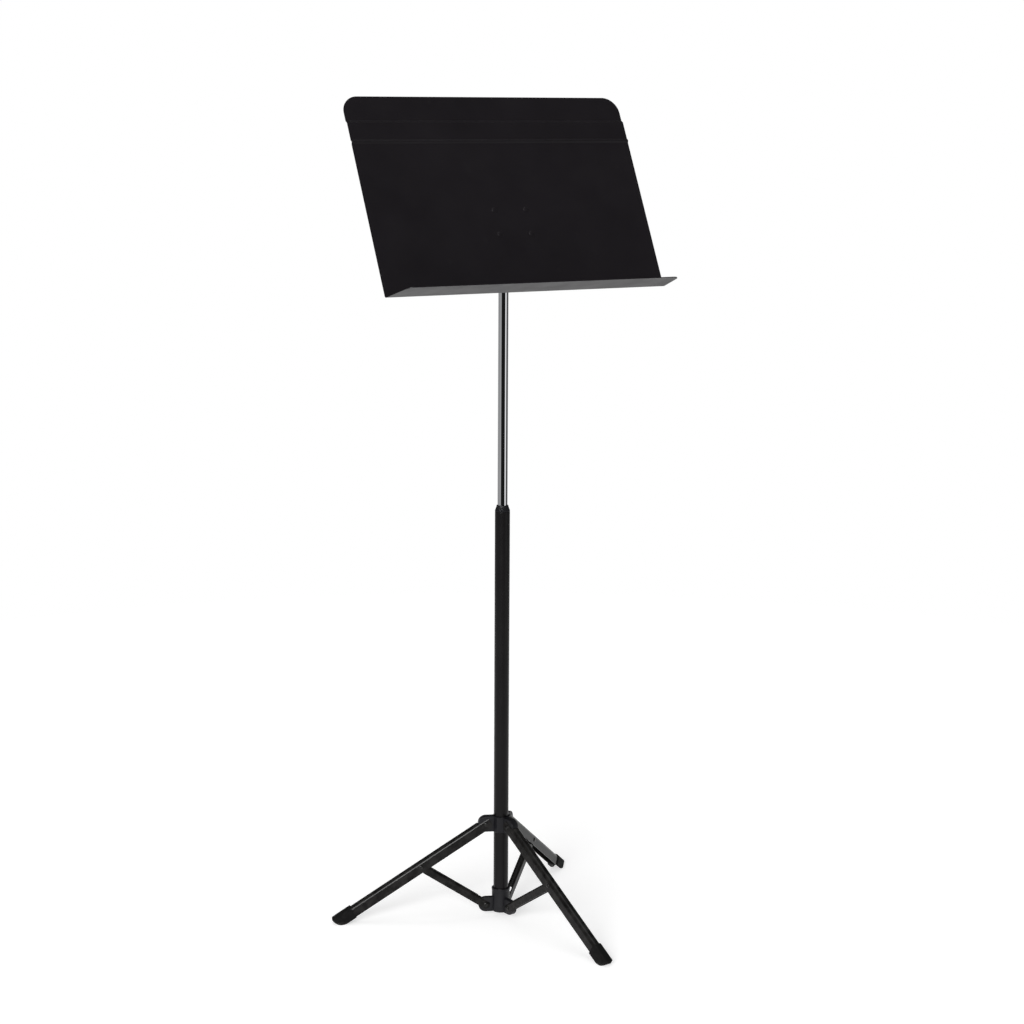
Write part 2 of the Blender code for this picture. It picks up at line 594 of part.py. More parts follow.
def make_head(turning):
    """The head on the shaft: a socket for the shaft below and a tongue for the tilt bolt above."""
    r, chamfer = HEAD_RADIUS, 0.0012
    profile = [(0, HEAD_SHOULDER), (r - chamfer, HEAD_SHOULDER), (r, HEAD_SHOULDER - chamfer),
               (r, HEAD_BOTTOM + chamfer), (r - chamfer, HEAD_BOTTOM), (0, HEAD_BOTTOM)]
    head = place(as_part(turned("tilt_head", profile, ROUND), "moulded_black"), turning)
    nose = arc((0, BOLT_Z), TONGUE_RADIUS, 0, 180, 10)
    outline = [*nose, (-TONGUE_RADIUS + 0.0015, HEAD_SHOULDER - 0.004),
               (TONGUE_RADIUS - 0.0015, HEAD_SHOULDER - 0.004)]
    tongue = as_cutter(side_solid("head_tongue", outline, TONGUE_HALF))
    combine(head, place(tongue, turning, (0, 0, 0), (0, 0, math.pi / 2)), "UNION")
    bore = as_cutter(rod("head_bore", SHAFT_RADIUS + GAP * 0.8, HEAD_BOTTOM - 0.01, SHAFT_TOP + GAP, ROUND))
    hole = as_cutter(rod("head_bolt_hole", BOLT_RADIUS + GAP * 0.8, -0.03, 0.03))
    pin = as_cutter(rod("head_pin_hole", PIN_RADIUS + GAP * 0.8, -0.02, 0.02, SMALL_ROUND))
    cut(head, place(bore, turning), place(hole, turning, (0, 0, BOLT_Z), (0, math.pi / 2, 0)),
        place(pin, turning, (0, 0, PIN_Z), (0, math.pi / 2, 0)))
    return head


def make_roll_pin(turning, shaft):
    """A split pin across the head and the shaft, so that they turn as one."""
    profile = ring_profile(PIN_RADIUS - PIN_WALL, PIN_RADIUS, -PIN_HALF_LENGTH, PIN_HALF_LENGTH)
    pin = as_part(turned("head_roll_pin", profile, SMALL_ROUND, True), "spring_steel")
    place(pin, turning, (0, 0, PIN_Z), (0, math.pi / 2, 0))
    slit = as_cutter(block("roll_pin_slit", (0.0004, -0.0003, -0.02), (0.01, 0.0003, 0.02)))
    cut(pin, place(slit, turning, (0, 0, PIN_Z), (0, math.pi / 2, 0)))
    hole = as_cutter(rod("shaft_pin_hole", PIN_RADIUS + GAP * 0.8, -0.02, 0.02, SMALL_ROUND))
    cut(shaft, place(hole, turning, (0, 0, PIN_Z), (0, math.pi / 2, 0)))


def smooth_step(t):
    return t * t * (3 - 2 * t)


def panel_offset(up):
    """How far the panel's face stands forward of its plane at this height above the fold."""
    joggle = PANEL_HEIGHT - JOGGLE_DROP - up
    rib = abs(PANEL_HEIGHT - RIB_DROP - up) / (RIB_WIDTH / 2)
    offset = RIB_HEIGHT * (1 - smooth_step(rib)) if rib < 1 else 0.0
    return offset - JOGGLE_DEPTH * smooth_step(min(max(0.5 - joggle / JOGGLE_RUN, 0), 1))


def desk_rows():
    """The desk's face as rows of (half width, height above the fold, distance forward). Two rows
    bound the riveted middle, so that the face above it is clear of the rivets."""
    rows, half = [], DESK_WIDTH / 2
    down, out = math.cos(LIP_ANGLE), math.sin(LIP_ANGLE)
    for i in range(7):
        a = math.radians(15 * i)
        along = LIP_DEPTH - LIP_CORNER * (1 - math.sin(a))
        inset = LIP_TAPER * along / LIP_DEPTH + LIP_CORNER * (1 - math.cos(a))
        rows.append((half - inset, along * down, along * out))
    rows.reverse()
    bend = LIP_ANGLE - math.pi / 2
    reach = FOLD_RADIUS * math.tan((math.pi / 2 - bend) / 2)
    centre = (reach, FOLD_RADIUS)
    for i in range(7):
        a = math.pi / 2 + bend + (math.pi / 2 - bend) * i / 6
        inset = LIP_TAPER * max(0.0, centre[1] + FOLD_RADIUS * math.cos(a)) / LIP_DEPTH * (1 - i / 6)
        rows.append((half - inset, centre[0] - FOLD_RADIUS * math.sin(a),
                     centre[1] + FOLD_RADIUS * math.cos(a)))
    rows += [(half, BOLT_ABOVE_FOLD + step, 0.0) for step in (-RIVETED_HALF, RIVETED_HALF)]
    heights = [RIB_DROP + RIB_WIDTH * (0.5 - i / 8) for i in range(9)]
    heights += [JOGGLE_DROP + JOGGLE_RUN * (0.5 - i / 6) for i in range(7)]
    for drop in heights:
        up = PANEL_HEIGHT - drop
        rows.append((half, up, panel_offset(up)))
    for i in range(10):
        a = math.radians(10 * i)
        up = PANEL_HEIGHT - TOP_CORNER * (1 - math.sin(a))
        rows.append((half - TOP_CORNER * (1 - math.cos(a)), up, panel_offset(up)))
    return rows


def make_desk(tilting):
    """The folded sheet: lip, panel, rib and set-back top edge. Local +Z runs up the panel and
    local -Y stands forward of it, from the tilt bolt's axis."""
    bm = bmesh.new()
    lines = []
    for half, up, forward in desk_rows():
        y, z = -BOLT_TO_FACE - forward, up - BOLT_ABOVE_FOLD
        lines.append([bm.verts.new((x, y, z)) for x in (-half, half)])
    for low, high in zip(lines, lines[1:]):
        bm.faces.new((low[0], low[1], high[1], high[0]))
    desk = as_part(mesh_object("desk", bm), "desk_black")
    sheet = desk.modifiers.new("sheet", "SOLIDIFY")
    sheet.thickness, sheet.offset, sheet.use_even_offset = DESK_SHEET, -1, True
    place(desk, tilting)
    return desk


def desk_layer(name, outline, front, thickness, tilting):
    """A flat plate behind the panel, with its front at this distance forward of the bolt."""
    plate = flat_solid(name, outline, front - thickness, front)
    plate.data.transform(Matrix.Rotation(math.pi / 2, 4, "X"))
    return place(plate, tilting)


def make_bracket(tilting):
    """The backing plate and the bracket whose two ears hold the tilt bolt."""
    plate_front = BOLT_TO_FACE - DESK_SHEET - GAP
    plate = desk_layer("backing_plate", rounded_rectangle(PLATE_WIDTH, PLATE_HEIGHT, 0.012),
                       plate_front, PLATE_SHEET, tilting)
    as_part(plate, "desk_black")
    base_front = plate_front - PLATE_SHEET - GAP
    bracket = desk_layer("tilt_bracket", rounded_rectangle(BASE_WIDTH, BASE_HEIGHT, 0.008),
                         base_front, BASE_SHEET, tilting)
    as_part(bracket, "desk_black")
    inner = TONGUE_HALF + WASHER + 2 * GAP
    root = base_front - BASE_SHEET / 2
    nose = arc((0, 0), EAR_RADIUS, 90, 270, 8)
    outline = [(-x, z) for x, z in nose] + [(-root, -EAR_ROOT_HALF), (-root, EAR_ROOT_HALF)]
    for side in (-1, 1):
        ear = section_solid(f"bracket_ear_{side}", outline, -EAR_SHEET / 2, EAR_SHEET / 2)
        middle = side * (inner + EAR_SHEET / 2)
        combine(bracket, place(as_cutter(ear), tilting, (middle, 0, 0)), "UNION")
    hole = as_cutter(rod("ear_holes", BOLT_RADIUS + GAP * 0.8, -0.03, 0.03))
    cut(bracket, place(hole, tilting, (0, 0, 0), (0, math.pi / 2, 0)))
    return plate, bracket, inner + EAR_SHEET


def make_desk_rivets(tilting, layers):
    """Four low-headed rivets through the panel, the backing plate and the bracket."""
    front = BOLT_TO_FACE + GAP * 0.5
    back = BOLT_TO_FACE - DESK_SHEET - PLATE_SHEET - BASE_SHEET - 2.5 * GAP
    radius, head = 0.0022, 0.0046
    rise = [(head * math.sin(a), front + 0.0009 * math.cos(a))
            for a in (math.radians(45 * i) for i in range(3))]
    fall = [(head * math.sin(a), back - 0.0014 * math.cos(a))
            for a in (math.radians(90 - 45 * i) for i in range(3))]
    spots = [(x, z) for x in (-DESK_RIVET_X, DESK_RIVET_X) for z in (-DESK_RIVET_U, DESK_RIVET_U)]
    for k, (x, z) in enumerate(spots):
        profile = [*rise, (radius, front), (radius, back), *fall]
        piece = as_part(turned(f"desk_rivet_{k + 1}", profile, SMALL_ROUND), "desk_black")
        place(piece, tilting, (x, 0, z), (math.pi / 2, 0, 0))
        for layer in layers:
            hole = rod(f"rivet_hole_{k}_{layer.name}", radius + HOLE_CLEARANCE, 0.01, 0.05, SMALL_ROUND)
            cut(layer, place(as_cutter(hole), tilting, (x, 0, z), (math.pi / 2, 0, 0)))


def make_tilt_hardware(tilting, ear_outer):
    """Bolt, lock nut, two friction washers and two coned spring washers, along local X."""
    turn = (0, math.pi / 2, 0)
    bearing = ear_outer + GAP
    far = bearing + 4 * GAP + 0.0024
    head = hexagon(BOLT_HEAD_RADIUS)
    bolt = as_part(flat_solid("tilt_bolt", head, -bearing - BOLT_HEAD_HEIGHT, -bearing), "zinc_steel")
    stem = as_cutter(rod("bolt_stem", BOLT_RADIUS, -bearing - 0.001, far + 0.0080))
    combine(place(bolt, tilting, (0, 0, 0), turn), place(stem, tilting, (0, 0, 0), turn), "UNION")
    nut = as_part(flat_solid("lock_nut", head, far, far + 0.0060), "zinc_steel")
    hole = as_cutter(rod("nut_hole", BOLT_RADIUS + GAP * 0.8, far - 0.01, far + 0.02))
    cut(place(nut, tilting, (0, 0, 0), turn), place(hole, tilting, (0, 0, 0), turn))
    bore, rise = BOLT_RADIUS + GAP, 0.0006
    for k, low in enumerate((-TONGUE_HALF - GAP - WASHER, TONGUE_HALF + GAP)):
        profile = ring_profile(bore, 0.0100, low, low + WASHER)
        washer = as_part(turned(f"friction_washer_{k + 1}", profile, MEDIUM_ROUND, True), "nylon_white")
        place(washer, tilting, (0, 0, 0), turn)
    for k in range(2):
        low = bearing + k * (0.0012 + 1.5 * GAP)
        coned = [(0.0062, low + rise), (0.0062, low), (bore, low + rise), (bore, low + 2 * rise)]
        spring = as_part(turned(f"spring_washer_{k + 1}", coned, MEDIUM_ROUND, True), "spring_steel")
        place(spring, tilting, (0, 0, 0), turn)


# ---------------------------------------------------------------- the whole stand


def make_tripod(column):
    make_collar(column)
    socket = make_socket(column)
    lean = math.pi / 2 - SPREAD
    for side, azimuth in LEGS.items():
        plane = empty(f"plane_{side}", column, (0, 0, 0), (0, 0, math.radians(azimuth)))
        low = empty(f"strut_pivot_{side}", plane, (PIVOT_RADIUS, 0, SOCKET_PIVOT_Z), (0, -lean, 0))
        middle = (PIVOT_RADIUS + ARM * math.sin(SPREAD), 0, (COLLAR_PIVOT_Z + SOCKET_PIVOT_Z) / 2)
        knee = empty(f"leg_pivot_{side}", plane, middle, (0, lean, 0))
        make_strut(side, low)
        make_leg(side, knee)
        make_boot(side, knee)
        rivet(f"rivet_low_{side}", low, 0, STRUT_WIDTH)
        rivet(f"rivet_mid_{side}", knee, 0, LEG_WIDTH)
        rivet(f"rivet_top_{side}", knee, -ARM, LEG_WIDTH)
    return socket


def make_head_and_desk(turning, shaft):
    make_head(turning)
    make_roll_pin(turning, shaft)
    tilting = empty("tilt_axis", turning, (0, 0, BOLT_Z), (-TILT, 0, 0))
    desk = make_desk(tilting)
    plate, bracket, ear_outer = make_bracket(tilting)
    make_desk_rivets(tilting, (desk, plate, bracket))
    make_tilt_hardware(tilting, ear_outer)


def main():
    column = empty("column_axis", None, (COLUMN_X, COLUMN_Y, 0))
    socket = make_tripod(column)
    tube = make_tube(column)
    make_bush(column)
    make_socket_screw(column, socket, tube)
    sliding = empty("height_axis", column)
    make_clutch(sliding)
    turning = empty("swivel_axis", sliding)
    shaft = make_shaft(turning)
    make_clutch_spindle(turning)
    make_head_and_desk(turning, shaft)


clear_scene()
PARTS = new_collection("music_stand")
CUTTERS = new_collection("cutters", hidden=True)
MATERIALS = {name: new_material(name, *look) for name, look in {**BLACK, **BRIGHT}.items()}
main()
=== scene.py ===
import json
import math

import bmesh
import bpy
from mathutils import Matrix, Vector


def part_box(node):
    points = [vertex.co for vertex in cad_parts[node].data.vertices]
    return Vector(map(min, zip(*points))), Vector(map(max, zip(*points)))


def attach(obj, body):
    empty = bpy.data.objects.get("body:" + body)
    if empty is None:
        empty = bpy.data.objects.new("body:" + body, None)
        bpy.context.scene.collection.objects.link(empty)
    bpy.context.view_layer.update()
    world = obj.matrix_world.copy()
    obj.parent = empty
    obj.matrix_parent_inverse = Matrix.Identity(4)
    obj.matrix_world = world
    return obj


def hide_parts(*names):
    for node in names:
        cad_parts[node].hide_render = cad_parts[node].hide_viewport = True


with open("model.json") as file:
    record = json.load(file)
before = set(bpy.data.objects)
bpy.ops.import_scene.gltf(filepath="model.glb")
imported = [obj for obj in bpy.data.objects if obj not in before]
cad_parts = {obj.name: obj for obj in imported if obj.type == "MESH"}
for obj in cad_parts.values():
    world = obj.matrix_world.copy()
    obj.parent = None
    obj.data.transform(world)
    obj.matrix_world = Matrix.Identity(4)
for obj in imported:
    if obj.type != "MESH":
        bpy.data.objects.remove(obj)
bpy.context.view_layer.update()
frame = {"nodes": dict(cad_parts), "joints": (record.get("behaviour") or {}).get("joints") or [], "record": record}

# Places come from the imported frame: joints give the pivots and boxes give the ends.
JOINTS = {joint["name"]: joint for joint in frame["joints"]}
SIDES = ("left", "front", "rear")
AXIS_X, AXIS_Y, _ = JOINTS["desk_swivel"]["pos_m"]
COLUMN = Matrix.Translation((AXIS_X, AXIS_Y, 0))
# ACROSS stands an outline up in XZ, ON_END stands it up in YZ, and SIDEWAYS lays Z along X.
ACROSS = Matrix.Rotation(math.pi / 2, 4, "X")
ON_END = Matrix(((0, 0, 1, 0), (1, 0, 0, 0), (0, 1, 0, 0), (0, 0, 0, 1)))
SIDEWAYS = Matrix.Rotation(math.pi / 2, 4, "Y")
# GAP is the usual clearance between pieces, and FIT that of a snug hole. Cutters reach SPARE or
# BEYOND past a face, CUT and LONG_CUT are half the lengths of those that go right through, and
# corners closer than WELD join.
GAP, FIT = 0.0003, 0.00024
SPARE, BEYOND, CUT, LONG_CUT, WELD = 0.001, 0.01, 0.02, 0.03, 0.000002
# The number of facets in a full turn, and in a channel's corner.
FINE_ROUND, ROUND, SMALL_ROUND = 96, 72, 36
CORNER_STEPS = 14

TUBE_WALL = 0.0012
SHAFT_WALL = 0.0012
BUSH_RIM_RADIUS = 0.0098
BUTTON_RADIUS = 0.0033
SOCKET_RADIUS, SOCKET_LUG_RADIUS, SOCKET_LUG_WIDTH = 0.0155, 0.0125, 0.0088
SCREW_RADIUS, RECESS_REACH, RECESS_HALF, RECESS_DEPTH = 0.0016, 0.0016, 0.00035, 0.0009
COLLAR_APOTHEM, COLLAR_LUG_RADIUS, COLLAR_LUG_WIDTH = 0.0146, 0.0133, 0.0122
SHEET, SHEET_EDGE = 0.0012, 0.00022
LEG_CORNER, LEG_SLOT, LEG_NOSE_CORNER = 0.0062, 0.0125, 0.0065
STRUT_CORNER, STRUT_LOW_SLOT, STRUT_HIGH_SLOT, STRUT_SLOT_FLOOR = 0.0046, 0.0200, 0.0170, 0.0005
STRUT_LOW_NOSE, STRUT_HIGH_NOSE = 0.0070, 0.0049
STRUT_LOW_TAPER, STRUT_TOP_TAPER, STRUT_HIGH_TAPER = 0.0100, 0.0120, 0.0140
RIVET_RADIUS, RIVET_HEAD_RADIUS, RIVET_HEAD_HEIGHT = 0.0020, 0.0037, 0.0014
HOLE_RADIUS = RIVET_RADIUS + 0.00022
BOOT_WALL, BOOT_TOE, BELLY_RADIUS = 0.0019, 0.0040, 0.0215
BOOT_NOSE_DROP, BOOT_CORNER, TOE_RADIUS, BOOT_EDGE = 0.0011, 0.0034, 0.0095, 0.0008

TILT = math.radians(26.6)
BOLT_TO_FACE, BOLT_ABOVE_FOLD = 0.0335, 0.1192
PANEL_HEIGHT, DESK_SHEET, DESK_EDGE = 0.3400, 0.0012, 0.0003
LIP_DEPTH, LIP_ANGLE, LIP_TAPER, LIP_CORNER = 0.0650, math.radians(98.9), 0.0100, 0.0120
FOLD_RADIUS, TOP_CORNER = 0.0030, 0.0280
JOGGLE_DROP, JOGGLE_DEPTH, JOGGLE_RUN = 0.0440, 0.0032, 0.0055
RIB_DROP, RIB_HEIGHT, RIB_WIDTH = 0.0800, 0.0020, 0.0090
PLATE_SHEET, BASE_SHEET, EAR_SHEET = 0.0015, 0.0025, 0.0025
PLATE_CORNER, BASE_CORNER = 0.0120, 0.0080
PLATE_FRONT = BOLT_TO_FACE - DESK_SHEET - GAP
BASE_FRONT = PLATE_FRONT - PLATE_SHEET - GAP
DESK_RIVET_RADIUS, DESK_RIVET_HEAD = 0.0022, 0.0046
TONGUE_HALF, TONGUE_RADIUS, WASHER = 0.0090, 0.0110, 0.0012
EAR_RADIUS, EAR_ROOT_HALF = 0.0110, 0.0240
BOLT_RADIUS, BOLT_HEAD_RADIUS, BOLT_HEAD_HEIGHT = 0.0030, 0.0058, 0.0040
HEAD_RADIUS, HEAD_DROP = 0.0112, 0.0130
PIN_WALL, PIN_SLIT = 0.0008, 0.0003


# ---------------------------------------------------------------- reading the frame


def pivot(joint):
    return Vector(JOINTS[joint]["pos_m"])


def half_width(node):
    """Half a node's width along X, which is the radius of an upright round piece."""
    low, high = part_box(node)
    return (high.x - low.x) / 2


def span_of(node):
    """The lowest and highest points of a node, in metres."""
    low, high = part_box(node)
    return low.z, high.z


def local_box(node, placing):
    """The lowest and highest corners of a node in a tilted frame."""
    back = placing.inverted()
    points = [back @ v.co for v in frame["nodes"][node].data.vertices]
    low = Vector([min(p[k] for p in points) for k in range(3)])
    high = Vector([max(p[k] for p in points) for k in range(3)])
    return low, high


def frame_at(origin, along, across):
    """A frame with X along a channel, Y across it and Z out of its web."""
    up = along.cross(across)
    turn = Matrix((along, across, up)).transposed().to_4x4()
    return Matrix.Translation(origin) @ turn


def leg_frame(side):
    """The frame of a leg, at its middle rivet."""
    low, knee = pivot(f"strut_{side}_fold"), pivot(f"leg_{side}_fold")
    top = Vector((low.x, low.y, pivot("collar_fold").z))
    return frame_at(knee, (knee - top).normalized(), Vector(JOINTS[f"leg_{side}_fold"]["axis"]))


def strut_frame(side):
    """The frame of a strut, at its lower rivet."""
    low, knee = pivot(f"strut_{side}_fold"), pivot(f"leg_{side}_fold")
    return frame_at(low, (knee - low).normalized(), -Vector(JOINTS[f"strut_{side}_fold"]["axis"]))


def radial_frame(side):
    """A frame on the column's axis with X pointing along this leg."""
    away = pivot(f"strut_{side}_fold") - Vector((AXIS_X, AXIS_Y, 0))
    return COLUMN @ Matrix.Rotation(math.atan2(away.y, away.x), 4, "Z")


def outward_frame(node):
    """A frame on the column's axis, at a small node's height, with Z pointing out through it."""
    low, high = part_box(node)
    middle = (low + high) / 2
    turn = math.atan2(middle.y - AXIS_Y, middle.x - AXIS_X)
    place = Matrix.Translation((AXIS_X, AXIS_Y, middle.z))
    return place @ Matrix.Rotation(turn, 4, "Z") @ SIDEWAYS


ARM = (pivot("leg_left_fold") - pivot("strut_left_fold")).length
PIVOT_RADIUS = (radial_frame("left").inverted() @ pivot("strut_left_fold")).x
SPREAD = math.acos((pivot("collar_fold").z - pivot("strut_left_fold").z) / (2 * ARM))
DESK = Matrix.Translation(pivot("desk_tilt")) @ Matrix.Rotation(-TILT, 4, "X")
TILT_AXIS = DESK @ SIDEWAYS


# ---------------------------------------------------------------- shapes


def arc(centre, radius, start, end, steps):
    """Points on an arc in a plane, from one angle to the other, in degrees."""
    angles = [math.radians(start + (end - start) * i / steps) for i in range(steps + 1)]
    return [(centre[0] + radius * math.cos(a), centre[1] + radius * math.sin(a)) for a in angles]


def softened(points, radius, closed=True, steps=3):
    """The same outline with its sharp corners rounded."""
    made, count = [], len(points)
    for i, point in enumerate(points):
        if not closed and i in (0, count - 1):
            made.append(point)
            continue
        here = Vector(point)
        before, after = Vector(points[i - 1]) - here, Vector(points[(i + 1) % count]) - here
        if before.angle(-after) < math.radians(20):
            made.append(point)
            continue
        reach = min(radius, 0.45 * before.length, 0.45 * after.length)
        start, end = here + before.normalized() * reach, here + after.normalized() * reach
        for k in range(steps + 1):
            t = k / steps
            made.append(tuple(start * (1 - t) ** 2 + here * 2 * t * (1 - t) + end * t * t))
    return made


def linked(name, bm):
    """A new object in the scene with this mesh."""
    mesh = bpy.data.meshes.new(name)
    bm.to_mesh(mesh)
    bm.free()
    made = bpy.data.objects.new(name, mesh)
    bpy.context.scene.collection.objects.link(made)
    return made


def solid(name, bm, placing=Matrix.Identity(4)):
    """A mesh put in its place, with its faces pointing out."""
    bmesh.ops.transform(bm, matrix=placing, verts=bm.verts)
    bmesh.ops.recalc_face_normals(bm, faces=bm.faces)
    return linked(name, bm)


def sheet_metal(name, bm, thickness, placing):
    """An open surface made into sheet, which grows from its back, and put in its place."""
    obj = linked(name, bm)
    sheet = obj.modifiers.new("sheet", "SOLIDIFY")
    sheet.thickness, sheet.offset, sheet.use_even_offset = thickness, -1, True
    settle(obj)
    obj.data.transform(placing)
    return obj


def settle(obj):
    """Makes the object's mesh what its modifiers leave of it."""
    bpy.context.view_layer.update()
    graph = bpy.context.evaluated_depsgraph_get()
    mesh = bpy.data.meshes.new_from_object(obj.evaluated_get(graph))
    obj.modifiers.clear()
    obj.data = mesh
    return obj


def without_slivers(obj):
    """Welds what an operation left almost touching, and removes faces without area."""
    bm = bmesh.new()
    bm.from_mesh(obj.data)
    bmesh.ops.remove_doubles(bm, verts=bm.verts, dist=WELD)
    bmesh.ops.dissolve_degenerate(bm, edges=bm.edges, dist=WELD)
    bm.to_mesh(obj.data)
    bm.free()
    return obj


def combine(obj, operation, *others):
    """Joins, cuts or clips the object by others, which are used up."""
    for other in others:
        modifier = obj.modifiers.new(other.name, "BOOLEAN")
        modifier.operation, modifier.object, modifier.solver = operation, other, "EXACT"
    settle(obj)
    for other in others:
        bpy.data.objects.remove(other, do_unlink=True)
    return without_slivers(obj)


def rounded_edges(obj, width, segments=2, angle=40):
    bevel = obj.modifiers.new("edges", "BEVEL")
    bevel.width, bevel.segments = width, segments
    bevel.limit_method, bevel.angle_limit = "ANGLE", math.radians(angle)
    return without_slivers(settle(obj))


def turned(name, profile, placing, soft=0.0003, steps=ROUND, closed=False):
    """A shape turned about local Z. The profile holds (radius, height) points."""
    bm = bmesh.new()
    points = softened(profile, soft, closed)
    verts = [bm.verts.new((radius, 0, height)) for radius, height in points]
    edges = [bm.edges.new(pair) for pair in zip(verts, verts[1:])]
    if closed:
        edges.append(bm.edges.new((verts[-1], verts[0])))
    bmesh.ops.spin(bm, geom=verts + edges, axis=(0, 0, 1), cent=(0, 0, 0), angle=2 * math.pi,
                   steps=steps, use_merge=True)
    bmesh.ops.remove_doubles(bm, verts=bm.verts, dist=WELD)
    return solid(name, bm, placing)


def prism(name, outline, low, high, placing, soft=0.0):
    """A flat outline in local XY, made solid between two heights, with its rims rounded."""
    bm = bmesh.new()
    face = bm.faces.new([bm.verts.new((x, y, low)) for x, y in outline])
    grown = bmesh.ops.extrude_face_region(bm, geom=[face])["geom"]
    lifted = [item for item in grown if isinstance(item, bmesh.types.BMVert)]
    bmesh.ops.translate(bm, verts=lifted, vec=(0, 0, high - low))
    if soft:
        rims = [e for e in bm.edges if abs(e.verts[0].co.z - e.verts[1].co.z) < 1e-7]
        bmesh.ops.bevel(bm, geom=rims, offset=soft, segments=3, profile=0.5, affect="EDGES")
    return solid(name, bm, placing)


def block(name, low, high, placing):
    outline = [(low[0], low[1]), (high[0], low[1]), (high[0], high[1]), (low[0], high[1])]
    return prism(name, outline, low[2], high[2], placing)


def rod(name, radius, low, high, placing, steps=ROUND):
    return turned(name, [(0, high), (radius, high), (radius, low), (0, low)], placing, soft=0, steps=steps)


def ring(inner, outer, low, high):
    return [(outer, high), (outer, low), (inner, low), (inner, high)]


def dome(radius, base, height, steps=8):
    """The profile of a low dome, from its middle to its rim."""
    angles = [math.pi / 2 * i / steps for i in range(steps + 1)]
    return [(radius * math.sin(a), base + height * math.cos(a)) for a in angles]


def hexagon(apothem):
    corner = apothem / math.cos(math.pi / 6)
    angles = [k * math.pi / 3 for k in range(6)]
    return [(corner * math.cos(a), corner * math.sin(a)) for a in angles]


def rounded_rectangle(width, height, radius):
    across, up = width / 2 - radius, height / 2 - radius
    corners = ((across, up, 0), (-across, up, 90), (-across, -up, 180), (across, -up, 270))
    outline = []
    for x, y, turn in corners:
        outline += arc((x, y), radius, turn, turn + 90, 12)
    return outline


# ---------------------------------------------------------------- materials


# Satin black finishes scatter their gloss, so they act like a surface of lower index.
DULL_IOR, RUBBER_IOR = 1.30, 1.24


class Nodes:
    """Short ways to add the nodes of one procedural material."""

    def __init__(self, name):
        self.material = bpy.data.materials.new(name)
        self.material.use_nodes = True
        self.tree = self.material.node_tree
        self.shader = self.tree.nodes["Principled BSDF"]
        self.place = self.add("ShaderNodeTexCoord").outputs["Object"]

    def add(self, kind, **values):
        node = self.tree.nodes.new(kind)
        for key, value in values.items():
            if hasattr(node, key):
                setattr(node, key, value)
            else:
                node.inputs[key.replace("_", " ").title()].default_value = value
        return node

    def link(self, source, target):
        self.tree.links.new(source, target)

    def noise(self, scale, detail=2.0, stretch=(1, 1, 1)):
        """Noise with this many waves to the metre, stretched along an axis if asked."""
        mapping = self.add("ShaderNodeMapping")
        mapping.inputs["Scale"].default_value = stretch
        texture = self.add("ShaderNodeTexNoise", Scale=scale, Detail=detail)
        self.link(self.place, mapping.inputs["Vector"])
        self.link(mapping.outputs["Vector"], texture.inputs["Vector"])
        return texture.outputs["Fac"]

    def between(self, value, low, high, start=0.35, end=0.65):
        """The value's usual spread carried to another range."""
        node = self.add("ShaderNodeMapRange")
        for socket, number in zip(("From Min", "From Max", "To Min", "To Max"), (start, end, low, high)):
            node.inputs[socket].default_value = number
        self.link(value, node.inputs["Value"])
        return node.outputs["Result"]

    def blend(self, share, socket, second):
        """A colour made earlier, carried towards another by a share."""
        node = self.add("ShaderNodeMix", data_type="RGBA")
        self.link(socket, node.inputs[6])
        node.inputs[7].default_value = (*second, 1)
        self.link(share, node.inputs["Factor"])
        return node.outputs[2]

    def colour(self, socket):
        self.link(socket, self.shader.inputs["Base Color"])

    def roughness(self, socket):
        self.link(socket, self.shader.inputs["Roughness"])

    def bumps(self, *layers):
        """Bump layers of (height, depth in metres, strength), finest last."""
        normal = None
        for height, depth, strength in layers:
            node = self.add("ShaderNodeBump", Distance=depth, Strength=strength)
            self.link(height, node.inputs["Height"])
            if normal:
                self.link(normal, node.inputs["Normal"])
            normal = node.outputs["Normal"]
        self.link(normal, self.shader.inputs["Normal"])

    def product(self, first, second):
        node = self.add("ShaderNodeMath", operation="MULTIPLY")
        self.link(first, node.inputs[0])
        self.link(second, node.inputs[1])
        return node.outputs[0]

    def height(self, low, high):
        """1 at the low height and 0 at the high one, in metres above the floor."""
        split = self.add("ShaderNodeSeparateXYZ")
        self.link(self.place, split.inputs[0])
        return self.between(split.outputs["Z"], 1, 0, low, high)


def mixed(nodes, share, dark, light):
    """A colour between two others, by a share from 0 to 1."""
    node = nodes.add("ShaderNodeMix", data_type="RGBA")
    node.inputs[6].default_value = (*dark, 1)
    node.inputs[7].default_value = (*light, 1)
    nodes.link(share, node.inputs["Factor"])
    return node.outputs[2]


def coated(name, index, dark, light, clouds, rough, grain, depth, scuffed):
    """Baked paint: faint clouding, a fine grain of this depth in metres, and sparse paler scuffs.

    Clouds and grain are in waves to the metre.
    """
    nodes = Nodes(name)
    nodes.shader.inputs["IOR"].default_value = index
    cloud = nodes.between(nodes.noise(clouds, 4), 0, 1)
    scuffs = nodes.between(nodes.noise(70, 5, (1, 1, 0.4)), 0, 0.6, 0.66, 0.78)
    nodes.colour(nodes.blend(scuffs, mixed(nodes, cloud, dark, light), scuffed))
    nodes.roughness(nodes.between(nodes.noise(25, 4), rough - 0.03, rough + 0.03))
    nodes.bumps((nodes.noise(grain * 0.3, 2), depth * 2, 0.12), (nodes.noise(grain, 2), depth, 0.3))
    return nodes.material


def moulded(name, dark, light, rough):
    """Glass-filled nylon: a spark-eroded texture, with cloudier gloss than paint."""
    nodes = Nodes(name)
    nodes.shader.inputs["IOR"].default_value = DULL_IOR
    nodes.colour(mixed(nodes, nodes.between(nodes.noise(60, 4), 0, 1), dark, light))
    nodes.roughness(nodes.between(nodes.noise(120, 3), rough - 0.07, rough + 0.07))
    nodes.bumps((nodes.noise(1500, 3), 0.00006, 0.5))
    return nodes.material


